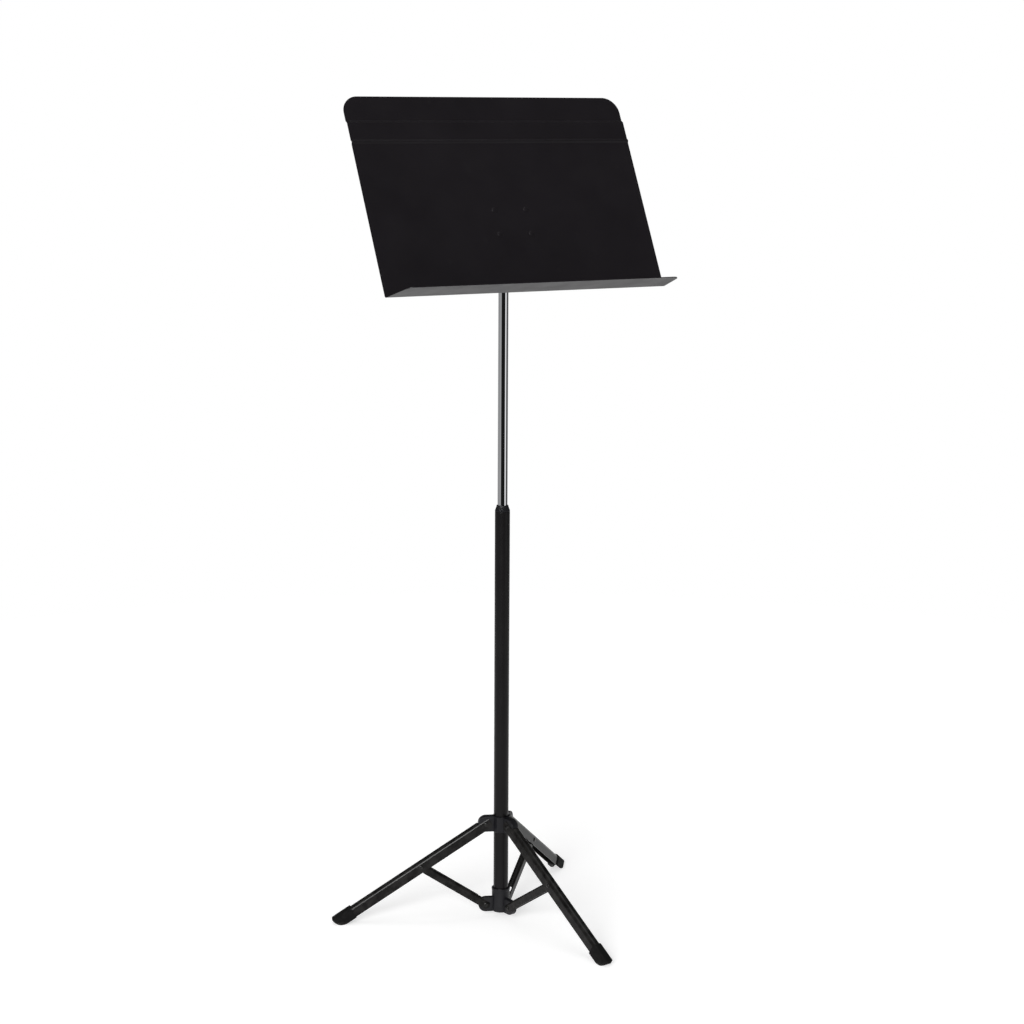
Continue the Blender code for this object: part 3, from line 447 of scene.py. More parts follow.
def rubber(name, dark, light, dust):
    """Matt rubber with a fine pitted skin and floor dust on what touches the ground."""
    nodes = Nodes(name)
    nodes.shader.inputs["IOR"].default_value = RUBBER_IOR
    skin = mixed(nodes, nodes.between(nodes.noise(70, 4), 0, 1), dark, light)
    dusty = nodes.product(nodes.height(0.0, 0.006), nodes.between(nodes.noise(240, 4), 0.1, 0.9))
    nodes.colour(nodes.blend(dusty, skin, dust))
    nodes.roughness(nodes.between(nodes.noise(200, 3), 0.70, 0.86))
    nodes.bumps((nodes.noise(900, 3), 0.00010, 0.6))
    return nodes.material


def metal(name, dark, light, rough, spread, stretch, lines):
    """Bare or plated metal with drawing or rolling lines along one axis."""
    nodes = Nodes(name)
    nodes.shader.inputs["Metallic"].default_value = 1.0
    streaks = nodes.noise(lines, 3, stretch)
    nodes.colour(mixed(nodes, nodes.between(streaks, 0, 1), dark, light))
    nodes.roughness(nodes.between(nodes.noise(lines * 0.4, 3, stretch), rough - spread, rough + spread))
    nodes.bumps((streaks, 0.00001, 0.15))
    return nodes.material


def nylon(name, dark, light):
    nodes = Nodes(name)
    nodes.colour(mixed(nodes, nodes.between(nodes.noise(90, 3), 0, 1), dark, light))
    nodes.roughness(nodes.between(nodes.noise(300, 2), 0.38, 0.52))
    nodes.bumps((nodes.noise(1200, 2), 0.00004, 0.4))
    return nodes.material


ALONG_COLUMN, EVEN = (1, 1, 0.02), (1, 1, 1)
MATERIALS = {
    "desk_black": coated("desk_black", index=1.32, clouds=9, rough=0.42, grain=1500, depth=0.00005,
                         dark=(0.0042, 0.0031, 0.0045), light=(0.0056, 0.0043, 0.0059),
                         scuffed=(0.008, 0.007, 0.008)),
    "tube_black": coated("tube_black", index=1.26, clouds=12, rough=0.34, grain=1300, depth=0.00004,
                         dark=(0.0022, 0.0018, 0.0021), light=(0.0034, 0.0029, 0.0032),
                         scuffed=(0.008, 0.007, 0.007)),
    "channel_black": coated("channel_black", index=1.22, clouds=90, rough=0.24, grain=1000, depth=0.00006,
                            dark=(0.0030, 0.0028, 0.0027), light=(0.0130, 0.0125, 0.0120),
                            scuffed=(0.040, 0.038, 0.036)),
    "moulded_black": moulded("moulded_black", (0.0050, 0.0050, 0.0064), (0.0080, 0.0080, 0.0096), 0.42),
    "rubber_black": rubber("rubber_black", (0.0016, 0.0016, 0.0016), (0.0030, 0.0029, 0.0028),
                           (0.030, 0.028, 0.026)),
    "rivet_black": metal("rivet_black", (0.020, 0.020, 0.020), (0.042, 0.041, 0.040), 0.30, 0.06,
                         EVEN, 400),
    "shaft_chrome": metal("shaft_chrome", (0.76, 0.77, 0.79), (0.84, 0.85, 0.87), 0.035, 0.012,
                          ALONG_COLUMN, 900),
    "zinc_steel": metal("zinc_steel", (0.48, 0.50, 0.52), (0.62, 0.63, 0.63), 0.28, 0.06, EVEN, 250),
    "spring_steel": metal("spring_steel", (0.38, 0.38, 0.39), (0.50, 0.50, 0.51), 0.26, 0.05,
                          (0.1, 1, 1), 600),
    "nylon_white": nylon("nylon_white", (0.66, 0.63, 0.56), (0.74, 0.72, 0.66)),
}


def finish_piece(obj, body, slot, sharp=34):
    """Gives a new piece its material and shading, and puts it on its body in place of its node.

    Weighted normals keep flat and straight faces flat in the light beside their rounded edges.
    """
    obj.data.materials.clear()
    obj.data.materials.append(MATERIALS[slot])
    obj.data.shade_smooth()
    obj.data.set_sharp_from_angle(angle=math.radians(sharp))
    flat = obj.modifiers.new("flat", "WEIGHTED_NORMAL")
    flat.weight, flat.keep_sharp = 100, True
    settle(obj)
    node = obj.name.removeprefix("fine_")
    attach(obj, body)
    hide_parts(node)
    return obj


# ---------------------------------------------------------------- column


def make_tube():
    outer, (low, high) = half_width("outer_tube"), span_of("outer_tube")
    tube = turned("fine_outer_tube", ring(outer - TUBE_WALL, outer, low, high), COLUMN,
                  soft=0.0004, steps=FINE_ROUND, closed=True)
    finish_piece(tube, "column", "tube_black")


def make_shaft():
    outer, (low, high) = half_width("inner_shaft"), span_of("inner_shaft")
    shaft = turned("fine_inner_shaft", ring(outer - SHAFT_WALL, outer, low, high), COLUMN,
                   soft=0.0003, steps=FINE_ROUND, closed=True)
    finish_piece(shaft, "shaft", "shaft_chrome")


def make_bush():
    """The guide bush: a coned cap with a chamfered mouth, and a pocket for its button."""
    tube, bore = half_width("outer_tube"), half_width("inner_shaft") + GAP
    sleeve, (low, top) = tube - TUBE_WALL - GAP, span_of("guide_bush")
    seat = span_of("outer_tube")[1] + GAP
    profile = [(bore + 0.0006, top), (BUSH_RIM_RADIUS - 0.0004, top), (BUSH_RIM_RADIUS, top - 0.0005),
               (BUSH_RIM_RADIUS + 0.0004, top - 0.0028), (tube, seat + 0.0015), (tube, seat),
               (sleeve, seat), (sleeve, low), (bore, low), (bore, top - 0.0008)]
    bush = turned("fine_guide_bush", profile, COLUMN, soft=0.0004, steps=FINE_ROUND, closed=True)
    pocket = rod("pocket", BUTTON_RADIUS + FIT, BUSH_RIM_RADIUS, CUT, outward_frame("bush_button"),
                 SMALL_ROUND)
    finish_piece(combine(bush, "DIFFERENCE", pocket), "column", "moulded_black")


def make_button():
    """The round button in the bush's side: a low dome inside a groove and a rim."""
    spot = outward_frame("bush_button")
    face = local_box("bush_button", spot)[1].z - 0.0004
    profile = [*dome(BUTTON_RADIUS * 0.62, face - 0.0003, 0.0007, 6), (BUTTON_RADIUS * 0.70, face - 0.0005),
               (BUTTON_RADIUS * 0.78, face - 0.0005), (BUTTON_RADIUS * 0.84, face),
               (BUTTON_RADIUS, face - 0.0002), (BUTTON_RADIUS, BUSH_RIM_RADIUS + GAP),
               (0, BUSH_RIM_RADIUS + GAP)]
    button = turned("fine_bush_button", profile, spot, soft=0.0001, steps=SMALL_ROUND)
    finish_piece(button, "column", "moulded_black")


def lug_outline(reach_in, pivot_z, radius):
    """A lug in the radial plane, rounded about its rivet."""
    nose = arc((PIVOT_RADIUS, pivot_z), radius, -90, 90, 36)
    return [(reach_in, pivot_z - radius), *nose, (reach_in, pivot_z + radius)]


def add_lugs(hub, pivot_z, radius, width, start):
    """Three lugs joined to a hub, each drilled for its rivet."""
    lugs, holes = [], []
    for side in SIDES:
        plane = radial_frame(side)
        lugs.append(prism(f"lug_{side}", lug_outline(start, pivot_z, radius), -width / 2, width / 2,
                          plane @ ACROSS, soft=0.0007))
        spot = plane @ Matrix.Translation((PIVOT_RADIUS, 0, pivot_z)) @ ACROSS
        holes.append(rod(f"lug_hole_{side}", HOLE_RADIUS, -CUT, CUT, spot, SMALL_ROUND))
    combine(hub, "UNION", *lugs)
    return combine(hub, "DIFFERENCE", *holes)


def make_socket():
    """The foot of the column: a cup with three lugs, a wider rim and a chamfered bottom."""
    tube = half_width("outer_tube")
    low, top = span_of("base_socket")
    body, rim = SOCKET_RADIUS - 0.0004, top - 0.0042
    profile = [(0, top), (SOCKET_RADIUS, top), (SOCKET_RADIUS, rim), (body, rim - 0.0004),
               (body, low + 0.0012), (body - 0.0012, low), (0, low)]
    socket = turned("fine_base_socket", profile, COLUMN, soft=0.0006, steps=FINE_ROUND)
    add_lugs(socket, pivot("strut_left_fold").z, SOCKET_LUG_RADIUS, SOCKET_LUG_WIDTH, tube - 0.002)
    bottom = span_of("outer_tube")[0] - GAP
    fit = tube + GAP
    bore = [(0, top + BEYOND), (fit + 0.0009, top + BEYOND), (fit + 0.0006, top), (fit, top - 0.0008),
            (fit, bottom), (0, bottom)]
    bore = turned("bore", bore, COLUMN, soft=0, steps=FINE_ROUND)
    spot = outward_frame("socket_screw")
    hole = rod("screw_hole", SCREW_RADIUS + 0.0002, 0.006, CUT, spot, SMALL_ROUND)
    combine(socket, "DIFFERENCE", bore, hole)
    finish_piece(socket, "column", "moulded_black")


def make_screw():
    """A pan-head screw with a cross recess."""
    spot = outward_frame("socket_screw")
    box = local_box("socket_screw", spot)
    head, reach, foot = (box[1].x - box[0].x) / 2, box[1].z, box[0].z
    seat = SOCKET_RADIUS + GAP * 0.5
    profile = [*dome(head, seat + 0.0006, reach - seat - 0.0006, 8), (head, seat),
               (SCREW_RADIUS, seat), (SCREW_RADIUS, foot), (0, foot)]
    screw = turned("fine_socket_screw", profile, spot, soft=0.0001, steps=SMALL_ROUND)
    low = (-RECESS_REACH, -RECESS_HALF, reach - RECESS_DEPTH)
    high = (RECESS_REACH, RECESS_HALF, reach + BEYOND)
    slots = [block(f"recess_{k}", low, high, spot @ Matrix.Rotation(math.pi / 2 * k, 4, "Z"))
             for k in range(2)]
    finish_piece(combine(screw, "DIFFERENCE", *slots), "column", "zinc_steel")


def make_collar():
    """The six-sided collar: each flat lies parallel to one lug's side."""
    low, top = span_of("sliding_collar")
    plane = radial_frame("left")
    hexed = hexagon(COLLAR_APOTHEM)
    collar = prism("fine_sliding_collar", softened(hexed, 0.0011, steps=4), low, top, plane, soft=0.0008)
    add_lugs(collar, pivot("collar_fold").z, COLLAR_LUG_RADIUS, COLLAR_LUG_WIDTH,
             half_width("outer_tube") - 0.002)
    tube = half_width("outer_tube") + GAP * 1.3
    wide = tube + 0.0006
    bore = [(0, top + BEYOND), (wide, top + BEYOND), (wide, top), (tube, top - 0.0008),
            (tube, low + 0.0008), (wide, low), (wide, low - BEYOND), (0, low - BEYOND)]
    combine(collar, "DIFFERENCE", turned("bore", bore, COLUMN, soft=0, steps=FINE_ROUND))
    finish_piece(collar, "collar", "moulded_black")


# ---------------------------------------------------------------- tripod


def channel_section(half, crown, skirt, corner):
    """Outer (y, z) points of an open channel: up one side, over the rounded web and down."""
    right = arc((half - corner, crown - corner), corner, 0, 90, CORNER_STEPS)
    left = [(-y, z) for y, z in reversed(right)]
    return [(half, -skirt), *right, *left, (-half, -skirt)]


def channel(name, box, corner, start, end, placing):
    """A pressed channel along local X, as wide and high as the box, with its rivets on the axis."""
    section = channel_section(box[1].y, box[1].z, -box[0].z, corner)
    bm = bmesh.new()
    first = [bm.verts.new((start, y, z)) for y, z in section]
    last = [bm.verts.new((end, y, z)) for y, z in section]
    for i in range(len(section) - 1):
        bm.faces.new((first[i + 1], last[i + 1], last[i], first[i]))
    top = max(bm.faces, key=lambda face: face.calc_center_median().z)
    top.normal_update()
    if top.normal.z < 0:
        bmesh.ops.reverse_faces(bm, faces=bm.faces)
    return sheet_metal(name, bm, SHEET, placing)


def cross_hole(name, placing, x):
    spot = placing @ Matrix.Translation((x, 0, 0)) @ ACROSS
    return rod(name, HOLE_RADIUS, -CUT, CUT, spot, SMALL_ROUND)


def leg_outline(box):
    """The leg seen from the side, about its middle rivet. Its upper end is rounded."""
    (back, _, low), (end, _, top), corner = box[0], box[1], LEG_NOSE_CORNER
    nose = arc((back + corner, low + corner), corner, 262, 180, 14)
    nose += arc((back + corner, top - corner), corner, 180, 98, 14)
    past = back + corner + 2 * SPARE
    return [(end, low - SPARE), (past, low - SPARE), *nose, (past, top + SPARE), (end, top + SPARE)]


def make_leg(side):
    place, name = leg_frame(side), f"fine_leg_{side}"
    box = local_box(f"leg_{side}", place)
    leg = channel(name, box, LEG_CORNER, box[0].x - 3 * SPARE, box[1].x + SPARE, place)
    combine(leg, "INTERSECT", prism("outline", leg_outline(box), -CUT, CUT, place @ ACROSS))
    half = COLLAR_LUG_WIDTH / 2 + GAP * 0.6
    slot = block("slot", (-ARM - LONG_CUT, -half, GAP), (-ARM + LEG_SLOT, half, CUT), place)
    room = place @ Matrix.Translation((-ARM, 0, 0)) @ ACROSS
    room = rod("room", COLLAR_LUG_RADIUS + 0.0006, -half, half, room)
    holes = [cross_hole(f"hole_{x}", place, x) for x in (-ARM, 0)]
    combine(leg, "DIFFERENCE", slot, room, *holes)
    finish_piece(rounded_edges(leg, SHEET_EDGE), f"leg_{side}", "channel_black")


def strut_outline(box):
    """The strut seen from the side, about its lower rivet. Both its ends are rounded."""
    low_nose = arc((0, 0), STRUT_LOW_NOSE, 250, 110, 24)
    high_nose = arc((ARM, 0), STRUT_HIGH_NOSE, 90, -90, 24)
    top, low, far = box[1].z + SPARE, box[0].z - SPARE, ARM - STRUT_HIGH_TAPER
    return [*low_nose, (STRUT_TOP_TAPER, top), (far, top), *high_nose, (far, low), (STRUT_LOW_TAPER, low)]


def make_strut(side):
    place, name = strut_frame(side), f"fine_strut_{side}"
    box = local_box(f"strut_{side}", place)
    strut = channel(name, box, STRUT_CORNER, box[0].x - 3 * SPARE, box[1].x + 3 * SPARE, place)
    combine(strut, "INTERSECT", prism("outline", strut_outline(box), -CUT, CUT, place @ ACROSS))
    half = box[1].y - SHEET - GAP * 0.3
    low = block("slot_low", (-LONG_CUT, -half, STRUT_SLOT_FLOOR), (STRUT_LOW_SLOT, half, CUT), place)
    high = block("slot_high", (ARM - STRUT_HIGH_SLOT, -half, STRUT_SLOT_FLOOR),
                 (ARM + LONG_CUT, half, CUT), place)
    holes = [cross_hole(f"hole_{x}", place, x) for x in (0, ARM)]
    combine(strut, "DIFFERENCE", low, high, *holes)
    finish_piece(rounded_edges(strut, SHEET_EDGE), f"strut_{side}", "channel_black")


def belly_arc(low, tip):
    """The boot's rounded underside, from the skirt past the floor to the tip."""
    centre_z = low + BELLY_RADIUS
    centre_x = (pivot("collar_fold").z + centre_z * math.sin(SPREAD) - BELLY_RADIUS) / math.cos(SPREAD)
    end = -math.degrees(math.acos((tip - centre_x + ARM) / BELLY_RADIUS))
    return arc((centre_x - ARM, centre_z), BELLY_RADIUS, -90, end, 36)


def boot_outline(mouth, tip, low, back):
    """The boot seen from the side, about the leg's middle rivet. It runs past the mouth."""
    front, past = back - BOOT_NOSE_DROP, mouth - SPARE
    nose = arc((tip - BOOT_CORNER, front - BOOT_CORNER), BOOT_CORNER, 0, 90, 8)
    return [(past, low), *belly_arc(low, tip), *nose, (past, back + SPARE / 2)]


def toe_outline(mouth, tip, outer):
    """The boot seen from above, with a rounded toe. It runs past the mouth and the sides."""
    front, side = tip + SPARE / 2, outer + SPARE
    corner = arc((front - TOE_RADIUS, outer - TOE_RADIUS), TOE_RADIUS, 0, 75, 16)
    half = [*corner, (front - TOE_RADIUS - 2 * SPARE, side), (mouth - SPARE, side)]
    return half + [(x, -y) for x, y in reversed(half)]


def section_solid(name, section, start, end, placing):
    """A closed (y, z) section run along local X."""
    return prism(name, section, start, end, placing @ ON_END)


def make_boot(side):
    """A rubber shoe that wraps the leg's end, with every edge softly rounded."""
    place = leg_frame(side)
    leg_box, boot_box = local_box(f"leg_{side}", place), local_box(f"boot_{side}", place)
    (mouth, _, low), (tip, _, back) = boot_box
    inner = leg_box[1].y + FIT
    shell = channel_section(inner + BOOT_WALL, back, CUT, LEG_CORNER + 0.002)
    hollow = channel_section(inner, leg_box[1].z + FIT, 2 * CUT, LEG_CORNER + FIT)
    boot = section_solid(f"fine_boot_{side}", shell, mouth, tip + SPARE, place)
    outline = boot_outline(mouth, tip, low, back)
    combine(boot, "INTERSECT", prism("outline", outline, -CUT, CUT, place @ ACROSS))
    toe = toe_outline(mouth, tip, inner + BOOT_WALL)
    combine(boot, "INTERSECT", prism("toe", toe, -LONG_CUT, LONG_CUT, place))
    inside = section_solid("inside", hollow, mouth - BEYOND, tip - BOOT_TOE, place)
    combine(boot, "DIFFERENCE", inside)
    finish_piece(rounded_edges(boot, BOOT_EDGE, segments=3), f"leg_{side}", "rubber_black")


def make_rivet(node, body, placing, x, grip):
    """A rivet with a domed factory head at one end and a slightly flatter clenched one."""
    half = grip / 2 + GAP * 0.7
    top = dome(RIVET_HEAD_RADIUS, half + 0.0002, RIVET_HEAD_HEIGHT - 0.0002)
    foot = [(r, -z) for r, z in reversed(dome(RIVET_HEAD_RADIUS, half + 0.0003, RIVET_HEAD_HEIGHT - 0.0004))]
    profile = [*top, (RIVET_HEAD_RADIUS, half), (RIVET_RADIUS, half), (RIVET_RADIUS, -half),
               (RIVET_HEAD_RADIUS, -half), *foot]
    spot = placing @ Matrix.Translation((x, 0, 0)) @ ACROSS
    rivet = turned(f"fine_{node}", profile, spot, soft=0.0001, steps=SMALL_ROUND)
    finish_piece(rivet, body, "rivet_black")


def make_tripod():
    for side in SIDES:
        make_strut(side)
        make_leg(side)
        make_boot(side)
        leg, strut = leg_frame(side), strut_frame(side)
        wide = 2 * local_box(f"leg_{side}", leg)[1].y
        narrow = 2 * local_box(f"strut_{side}", strut)[1].y
        make_rivet(f"rivet_low_{side}", "column", strut, 0, narrow)
        make_rivet(f"rivet_mid_{side}", f"leg_{side}", leg, 0, wide)
        make_rivet(f"rivet_top_{side}", f"leg_{side}", leg, -ARM, wide)


# ---------------------------------------------------------------- head and desk


def make_head():
    """The head on the shaft: a socket with a narrower foot, and a tongue for the tilt bolt."""
    low, _ = span_of("tilt_head")
    bolt_z, shaft = pivot("desk_tilt").z, half_width("inner_shaft")
    shoulder = bolt_z - HEAD_DROP
    profile = [(0, shoulder), (HEAD_RADIUS, shoulder), (HEAD_RADIUS, low + 0.0040),
               (HEAD_RADIUS - 0.0006, low + 0.0034), (HEAD_RADIUS - 0.0006, low), (0, low)]
    head = turned("fine_tilt_head", profile, COLUMN, soft=0.0012, steps=FINE_ROUND)
    nose = arc((0, bolt_z), TONGUE_RADIUS, 0, 180, 36)
    root, root_z = TONGUE_RADIUS - 0.0015, shoulder - 0.004
    outline = [*nose, (-root, root_z), (root, root_z)]
    turn = COLUMN @ Matrix.Rotation(math.pi / 2, 4, "Z") @ ACROSS
    combine(head, "UNION", prism("tongue", outline, -TONGUE_HALF, TONGUE_HALF, turn, soft=0.0006))
    bore = rod("bore", shaft + FIT, low - BEYOND, span_of("inner_shaft")[1] + GAP, COLUMN)
    bolt = rod("bolt_hole", BOLT_RADIUS + FIT, -LONG_CUT, LONG_CUT,
               Matrix.Translation(pivot("desk_tilt")) @ SIDEWAYS)
    pin = rod("pin_hole", pin_radius() + FIT, -CUT, CUT, pin_frame(), SMALL_ROUND)
    finish_piece(combine(head, "DIFFERENCE", bore, bolt, pin), "shaft", "moulded_black")


def pin_frame():
    low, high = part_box("head_roll_pin")
    return Matrix.Translation((low + high) / 2) @ SIDEWAYS


def pin_radius():
    low, high = span_of("head_roll_pin")
    return (high - low) / 2


def make_roll_pin():
    """A split spring pin with rounded ends."""
    spot, radius = pin_frame(), pin_radius()
    half = half_width("head_roll_pin")
    pin = turned("fine_head_roll_pin", ring(radius - PIN_WALL, radius, -half, half), spot,
                 steps=SMALL_ROUND, closed=True)
    slit = block("slit", (PIN_WALL / 2, -PIN_SLIT, -CUT), (BEYOND, PIN_SLIT, CUT), spot)
    finish_piece(combine(pin, "DIFFERENCE", slit), "shaft", "spring_steel")


def smooth_step(t):
    return t * t * (3 - 2 * t)


def panel_offset(up):
    """How far the panel's face stands forward of its plane at this height above the fold."""
    joggle = PANEL_HEIGHT - JOGGLE_DROP - up
    rib = abs(PANEL_HEIGHT - RIB_DROP - up) / (RIB_WIDTH / 2)
    offset = RIB_HEIGHT * (1 - smooth_step(rib)) if rib < 1 else 0.0
    return offset - JOGGLE_DEPTH * smooth_step(min(max(0.5 - joggle / JOGGLE_RUN, 0), 1))


def lip_rows(half):
    """The lip, from its rounded front corners back."""
    down, out, steps, rows = math.cos(LIP_ANGLE), math.sin(LIP_ANGLE), 18, []
    for i in range(steps, -1, -1):
        a = math.pi / 2 * i / steps
        along = LIP_DEPTH - LIP_CORNER * (1 - math.sin(a))
        inset = LIP_TAPER * along / LIP_DEPTH + LIP_CORNER * (1 - math.cos(a))
        rows.append((half - inset, along * down, along * out))
    return rows


def fold_rows(half):
    """The bend from the lip up to the panel."""
    bend, steps, rows = LIP_ANGLE - math.pi / 2, 12, []
    reach = FOLD_RADIUS * math.tan((math.pi / 2 - bend) / 2)
    for i in range(steps + 1):
        a = math.pi / 2 + bend + (math.pi / 2 - bend) * i / steps
        forward = FOLD_RADIUS + FOLD_RADIUS * math.cos(a)
        inset = LIP_TAPER * max(0.0, forward) / LIP_DEPTH * (1 - i / steps)
        rows.append((half - inset, reach - FOLD_RADIUS * math.sin(a), forward))
    return rows


def panel_rows(half):
    """The panel, from below its rib up to its rounded top corners."""
    drops = [RIB_DROP + RIB_WIDTH * (0.5 - i / 24) for i in range(25)]
    drops += [JOGGLE_DROP + JOGGLE_RUN * (0.5 - i / 16) for i in range(17)]
    rows = [(half, PANEL_HEIGHT - drop, panel_offset(PANEL_HEIGHT - drop)) for drop in drops]
    for i in range(25):
        a = math.pi / 2 * i / 24
        up = PANEL_HEIGHT - TOP_CORNER * (1 - math.sin(a))
        rows.append((half - TOP_CORNER * (1 - math.cos(a)), up, panel_offset(up)))
    return rows


def make_desk():
    """The folded sheet: lip, panel, pressed rib and set-back top edge, with dressed edges.

    Its rows hold half the width, the height above the fold and the distance forward.
    """
    bm, lines, half = bmesh.new(), [], half_width("desk")
    for reach, up, forward in [*lip_rows(half), *fold_rows(half), *panel_rows(half)]:
        y, z = -BOLT_TO_FACE - forward, up - BOLT_ABOVE_FOLD
        lines.append([bm.verts.new((x, y, z)) for x in (-reach, reach)])
    for low, high in zip(lines, lines[1:]):
        bm.faces.new((low[0], low[1], high[1], high[0]))
    desk = sheet_metal("fine_desk", bm, DESK_SHEET, DESK)
    finish_piece(rounded_edges(desk, DESK_EDGE, angle=60), "desk", "desk_black")


def layer(node, corner, front, thickness, soft):
    """A plate as wide and high as its node, with its front this far forward of the bolt."""
    low, high = local_box(node, DESK)
    outline = rounded_rectangle(high.x - low.x, high.z - low.z, corner)
    return prism(f"fine_{node}", outline, front - thickness, front, DESK @ ACROSS, soft)


def make_plate():
    """The stiffener behind the panel."""
    plate = layer("backing_plate", PLATE_CORNER, PLATE_FRONT, PLATE_SHEET, soft=0.0003)
    finish_piece(plate, "desk", "desk_black")


def make_bracket():
    """The bracket behind the plate, whose two ears hold the tilt bolt."""
    bracket = layer("tilt_bracket", BASE_CORNER, BASE_FRONT, BASE_SHEET, soft=0.0005)
    inner, root = TONGUE_HALF + WASHER + 2 * GAP, BASE_FRONT - BASE_SHEET / 2
    nose = arc((0, 0), EAR_RADIUS, 90, -90, 30)
    outline = [*nose, (-root, -EAR_ROOT_HALF), (-root, EAR_ROOT_HALF)]
    ears = []
    for sign in (-1, 1):
        place = DESK @ Matrix.Translation((sign * (inner + EAR_SHEET / 2), 0, 0))
        ears.append(prism(f"ear_{sign}", outline, -EAR_SHEET / 2, EAR_SHEET / 2, place @ ON_END,
                          soft=0.0004))
    combine(bracket, "UNION", *ears)
    hole = rod("ear_holes", BOLT_RADIUS + FIT, -LONG_CUT, LONG_CUT, TILT_AXIS)
    finish_piece(combine(bracket, "DIFFERENCE", hole), "desk", "desk_black")


def make_desk_rivets():
    """Four low-headed rivets through the panel, the backing plate and the bracket."""
    front = BOLT_TO_FACE + GAP * 0.5
    back = BOLT_TO_FACE - DESK_SHEET - PLATE_SHEET - BASE_SHEET - 2.5 * GAP
    rise = dome(DESK_RIVET_HEAD, front, 0.0009)
    fall = [(r, 2 * back - z) for r, z in reversed(dome(DESK_RIVET_HEAD, back, 0.0014))]
    for k in range(1, 5):
        low, high = local_box(f"desk_rivet_{k}", DESK)
        spot = DESK @ Matrix.Translation(((low.x + high.x) / 2, 0, (low.z + high.z) / 2)) @ ACROSS
        profile = [*rise, (DESK_RIVET_RADIUS, front), (DESK_RIVET_RADIUS, back), *fall]
        piece = turned(f"fine_desk_rivet_{k}", profile, spot, soft=0.0001, steps=SMALL_ROUND)
        finish_piece(piece, "desk", "desk_black")


def hex_solid(name, apothem, low, high, placing):
    """A hexagon head or nut: its corners are turned off by a cone at both ends."""
    corner = apothem / math.cos(math.pi / 6)
    obj = prism(name, hexagon(apothem), low, high, placing)
    face, beyond = apothem * 0.97, corner + 0.0002
    slope = (corner - face) * 0.6
    profile = [(0, high), (face, high), (beyond, high - slope), (beyond, low + slope), (face, low), (0, low)]
    return combine(obj, "INTERSECT", turned("cone", profile, placing, soft=0))


def thread(radius, start, end, pitch=0.0010):
    """The outline of a screw thread as a row of grooves, from high to low."""
    points, z = [], start
    while z - pitch > end:
        points += [(radius, z), (radius - 0.0005, z - pitch * 0.45), (radius, z - pitch * 0.9)]
        z -= pitch
    return points


def make_bolt():
    """The hex bolt that the desk tilts on, threaded at its end."""
    low, high = local_box("tilt_bolt", DESK)
    bearing, tip = low.x + BOLT_HEAD_HEIGHT, high.x
    bolt = hex_solid("fine_tilt_bolt", BOLT_HEAD_RADIUS, low.x, bearing, TILT_AXIS)
    shank = [(0, tip), (BOLT_RADIUS - 0.0006, tip), *thread(BOLT_RADIUS, tip - 0.0006, tip - 0.0100),
             (BOLT_RADIUS, tip - 0.0105), (BOLT_RADIUS, bearing - SPARE), (0, bearing - SPARE)]
    combine(bolt, "UNION", turned("shank", shank, TILT_AXIS, soft=0, steps=SMALL_ROUND))
    finish_piece(bolt, "desk", "zinc_steel", sharp=25)


def make_nut():
    low, high = local_box("lock_nut", DESK)
    nut = hex_solid("fine_lock_nut", BOLT_HEAD_RADIUS, low.x, high.x, TILT_AXIS)
    hole = rod("nut_hole", BOLT_RADIUS + FIT, low.x - BEYOND, high.x + BEYOND, TILT_AXIS, SMALL_ROUND)
    finish_piece(combine(nut, "DIFFERENCE", hole), "desk", "zinc_steel", sharp=25)


def make_washers():
    """Flat friction washers and coned spring washers on the bolt."""
    bore = BOLT_RADIUS + GAP
    for k in (1, 2):
        node = f"friction_washer_{k}"
        low, high = local_box(node, DESK)
        profile = ring(bore, (high.z - low.z) / 2, low.x, high.x)
        washer = turned(f"fine_{node}", profile, TILT_AXIS, soft=0.0002, closed=True)
        finish_piece(washer, "desk", "nylon_white")
        node = f"spring_washer_{k}"
        low, high = local_box(node, DESK)
        rise, outer = (high.x - low.x) / 2, (high.z - low.z) / 2
        coned = [(outer, low.x + rise), (outer, low.x), (bore, low.x + rise), (bore, high.x)]
        washer = turned(f"fine_{node}", coned, TILT_AXIS, soft=0.0001, closed=True)
        finish_piece(washer, "desk", "spring_steel")


# ---------------------------------------------------------------- pieces kept from the frame


def dress_kept_nodes():
    """The clutch inside the tube keeps the frame's own solids, with finished materials."""
    slots = {row["node"]: row["material_slot"] for row in frame["record"]["subparts"]}
    for name, obj in frame["nodes"].items():
        if not obj.hide_render:
            for held in obj.material_slots:
                held.material = MATERIALS[slots[name]]


# ---------------------------------------------------------------- stage, light and camera

CAMERA_AZIMUTH, CAMERA_DISTANCE, CAMERA_HEIGHT = math.radians(-29.2), 3.6529, 1.3640
CAMERA_YAW, CAMERA_PITCH, CAMERA_ROLL = -0.0043, 0.1800, 0.0053
CAMERA_LENS, SENSOR = 79.27, 36.0


def add_camera():
    """The view of the photograph, from the left of the desk and level with its top edge."""
    a = CAMERA_AZIMUTH
    place = COLUMN @ Vector((CAMERA_DISTANCE * math.sin(a), -CAMERA_DISTANCE * math.cos(a), CAMERA_HEIGHT))
    heading = a + CAMERA_YAW
    level = Vector((-math.sin(heading), math.cos(heading), 0)) * math.cos(CAMERA_PITCH)
    forward = level - Vector((0, 0, math.sin(CAMERA_PITCH)))
    right = forward.cross(Vector((0, 0, 1))).normalized()
    up = right.cross(forward)
    rolled = right * math.cos(CAMERA_ROLL) + up * math.sin(CAMERA_ROLL)
    turn = Matrix((rolled, rolled.cross(forward), -forward)).transposed()
    camera = bpy.data.objects.new("camera", bpy.data.cameras.new("camera"))
    bpy.context.scene.collection.objects.link(camera)
    camera.matrix_world = Matrix.Translation(place) @ turn.to_4x4()
    camera.data.lens, camera.data.sensor_width = CAMERA_LENS, SENSOR
    bpy.context.scene.camera = camera


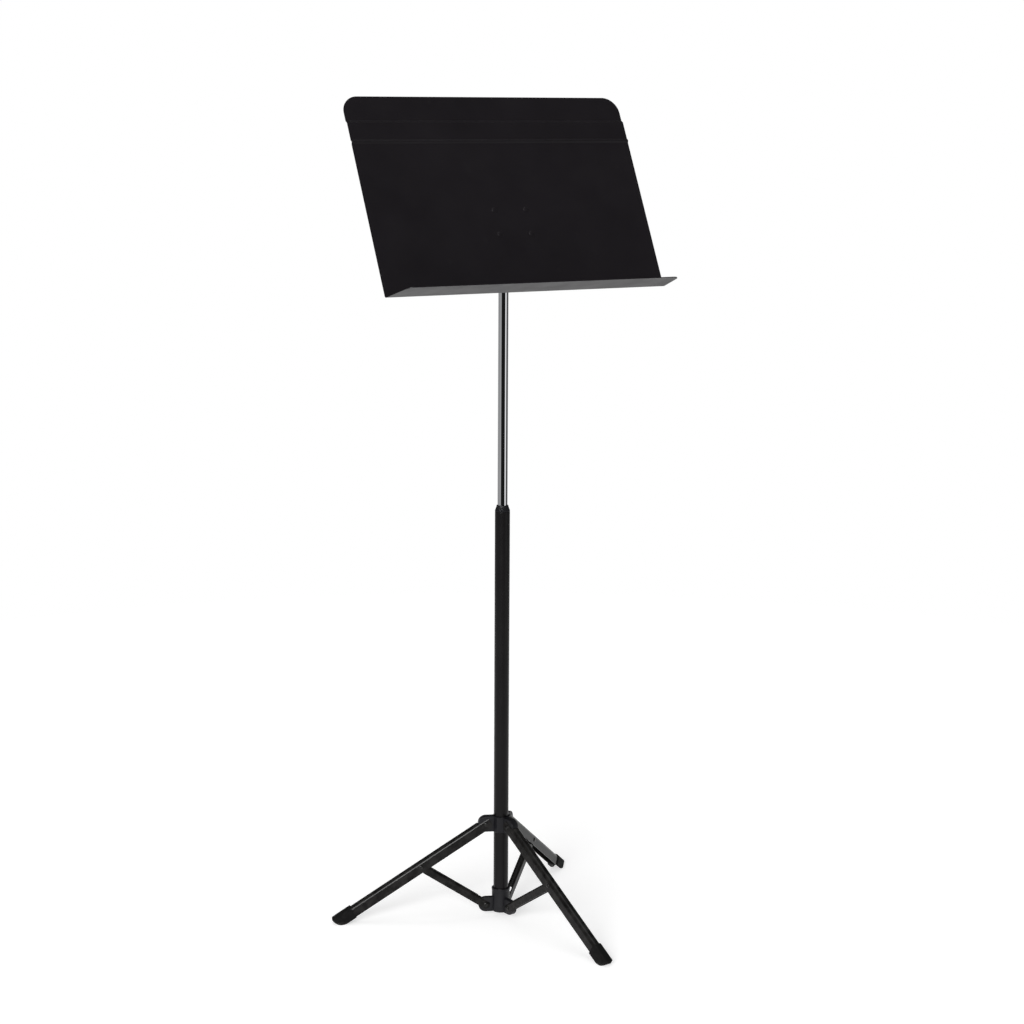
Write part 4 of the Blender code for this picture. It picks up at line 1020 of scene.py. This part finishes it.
FLOOR_RADIUS, FLOOR_HEIGHT, FADE_START, FADE_END = 2.6, -0.0002, 0.7, 1.9
FLOOR_TONE, FLOOR_GLOW, RIM_GLOW = 0.60, 0.58, 1.02


def add_floor():
    """A pale, faintly lit floor that fades into the white surround."""
    bm = bmesh.new()
    bmesh.ops.create_circle(bm, cap_ends=True, segments=128, radius=FLOOR_RADIUS)
    floor = solid("floor", bm, Matrix.Translation((0, 0, FLOOR_HEIGHT)))
    nodes = Nodes("floor_white")
    distance = nodes.add("ShaderNodeVectorMath", operation="LENGTH")
    nodes.link(nodes.place, distance.inputs[0])
    tone = nodes.between(distance.outputs["Value"], FLOOR_TONE, 0, FADE_START, FADE_END)
    glow = nodes.between(distance.outputs["Value"], FLOOR_GLOW, RIM_GLOW, FADE_START, FADE_END)
    nodes.colour(tone)
    nodes.link(glow, nodes.shader.inputs["Emission Strength"])
    nodes.shader.inputs["Emission Color"].default_value = (1, 1, 1, 1)
    nodes.shader.inputs["Roughness"].default_value = 0.85
    nodes.shader.inputs["Specular IOR Level"].default_value = 0.0
    floor.data.materials.append(nodes.material)


# The studio's walls by bearing from the camera, in degrees to its right, and their brightness:
# the low ring that the upright chrome mirrors, and above it a softbox over the camera. A bright
# lamp beside the camera gives the rounded edges their thin highlights.
LOW_WALLS = ((-180, 0.42), (-126, 0.40), (-113, 0.26), (-60, 0.38), (-44, 0.38), (-36, 0.012),
             (43, 0.008), (52, 0.90), (73, 0.90), (80, 0.08), (140, 0.10), (156, 0.42), (180, 0.42))
HIGH_WALLS = ((-180, 0.05), (-80, 0.07), (-50, 0.45), (16, 0.45), (42, 0.22), (120, 0.15), (180, 0.05))
CEILING = 2.8
LAMP_BEARING, LAMP_HEIGHT, LAMP_LIGHT = math.radians(-16), math.radians(23), 24.0
# The heights in degrees at which the high walls and the ceiling fade in. The lamp's own edge is
# given in the same way, as if the lamp were overhead.
WALL_EDGE, CEILING_EDGE, LAMP_EDGE = (0, 5), (68, 80), (76, 82)


def add_studio():
    """Soft light from a ceiling panel, with pale and dark walls for the chrome to show."""
    world = bpy.data.worlds.new("studio")
    bpy.context.scene.world = world
    world.use_nodes = True
    tree = world.node_tree
    add, link = tree.nodes.new, tree.links.new
    ray = add("ShaderNodeTexCoord")
    split = add("ShaderNodeSeparateXYZ")
    link(ray.outputs["Generated"], split.inputs[0])

    def maths(operation, first, second):
        node = add("ShaderNodeMath")
        node.operation = operation
        for socket, value in zip(node.inputs, (first, second)):
            if isinstance(value, bpy.types.NodeSocket):
                link(value, socket)
            else:
                socket.default_value = value
        return node.outputs[0]

    bearing = maths("ARCTAN2", split.outputs["Y"], split.outputs["X"])
    away = math.atan2(-math.cos(CAMERA_AZIMUTH), math.sin(CAMERA_AZIMUTH))
    turns = maths("DIVIDE", maths("SUBTRACT", bearing, away), 2 * math.pi)
    turns = maths("FRACT", maths("ADD", turns, 1.5), 0)

    def walls(rows):
        ramp = add("ShaderNodeValToRGB")
        stops = ramp.color_ramp.elements
        for _ in rows[2:]:
            stops.new(0.5)
        for stop, (angle, light) in zip(stops, rows):
            stop.position = (angle + 180) / 360
            stop.color = (light, light, light, 1)
        link(turns, ramp.inputs[0])
        return ramp.outputs["Color"]

    def rise(start, end, sine=split.outputs["Z"]):
        node = add("ShaderNodeMapRange")
        node.interpolation_type = "SMOOTHSTEP"
        node.inputs["From Min"].default_value = math.sin(math.radians(start))
        node.inputs["From Max"].default_value = math.sin(math.radians(end))
        link(sine, node.inputs["Value"])
        return node.outputs["Result"]

    def mix(share, first, second):
        node = add("ShaderNodeMix")
        node.data_type = "RGBA"
        link(share, node.inputs["Factor"])
        for socket, value in ((node.inputs[6], first), (node.inputs[7], second)):
            if isinstance(value, bpy.types.NodeSocket):
                link(value, socket)
            else:
                socket.default_value = (value, value, value, 1)
        return node.outputs[2]

    lit = mix(rise(*WALL_EDGE), walls(LOW_WALLS), walls(HIGH_WALLS))
    lit = mix(rise(*CEILING_EDGE), lit, CEILING)
    level, turn = math.cos(LAMP_HEIGHT), away + LAMP_BEARING
    towards = add("ShaderNodeVectorMath")
    towards.operation = "DOT_PRODUCT"
    link(ray.outputs["Generated"], towards.inputs[0])
    towards.inputs[1].default_value = (level * math.cos(turn), level * math.sin(turn), math.sin(LAMP_HEIGHT))
    lit = mix(rise(*LAMP_EDGE, towards.outputs["Value"]), lit, LAMP_LIGHT)
    seen = mix(add("ShaderNodeLightPath").outputs["Is Camera Ray"], lit, 1.0)
    link(seen, tree.nodes["Background"].inputs["Color"])
    bpy.context.scene.view_settings.view_transform = "Standard"


# ---------------------------------------------------------------- the whole stand

add_camera()
add_floor()
add_studio()
make_tube()
make_shaft()
make_bush()
make_button()
make_socket()
make_screw()
make_collar()
make_tripod()
make_head()
make_roll_pin()
make_desk()
make_plate()
make_bracket()
make_desk_rivets()
make_bolt()
make_nut()
make_washers()
dress_kept_nodes()
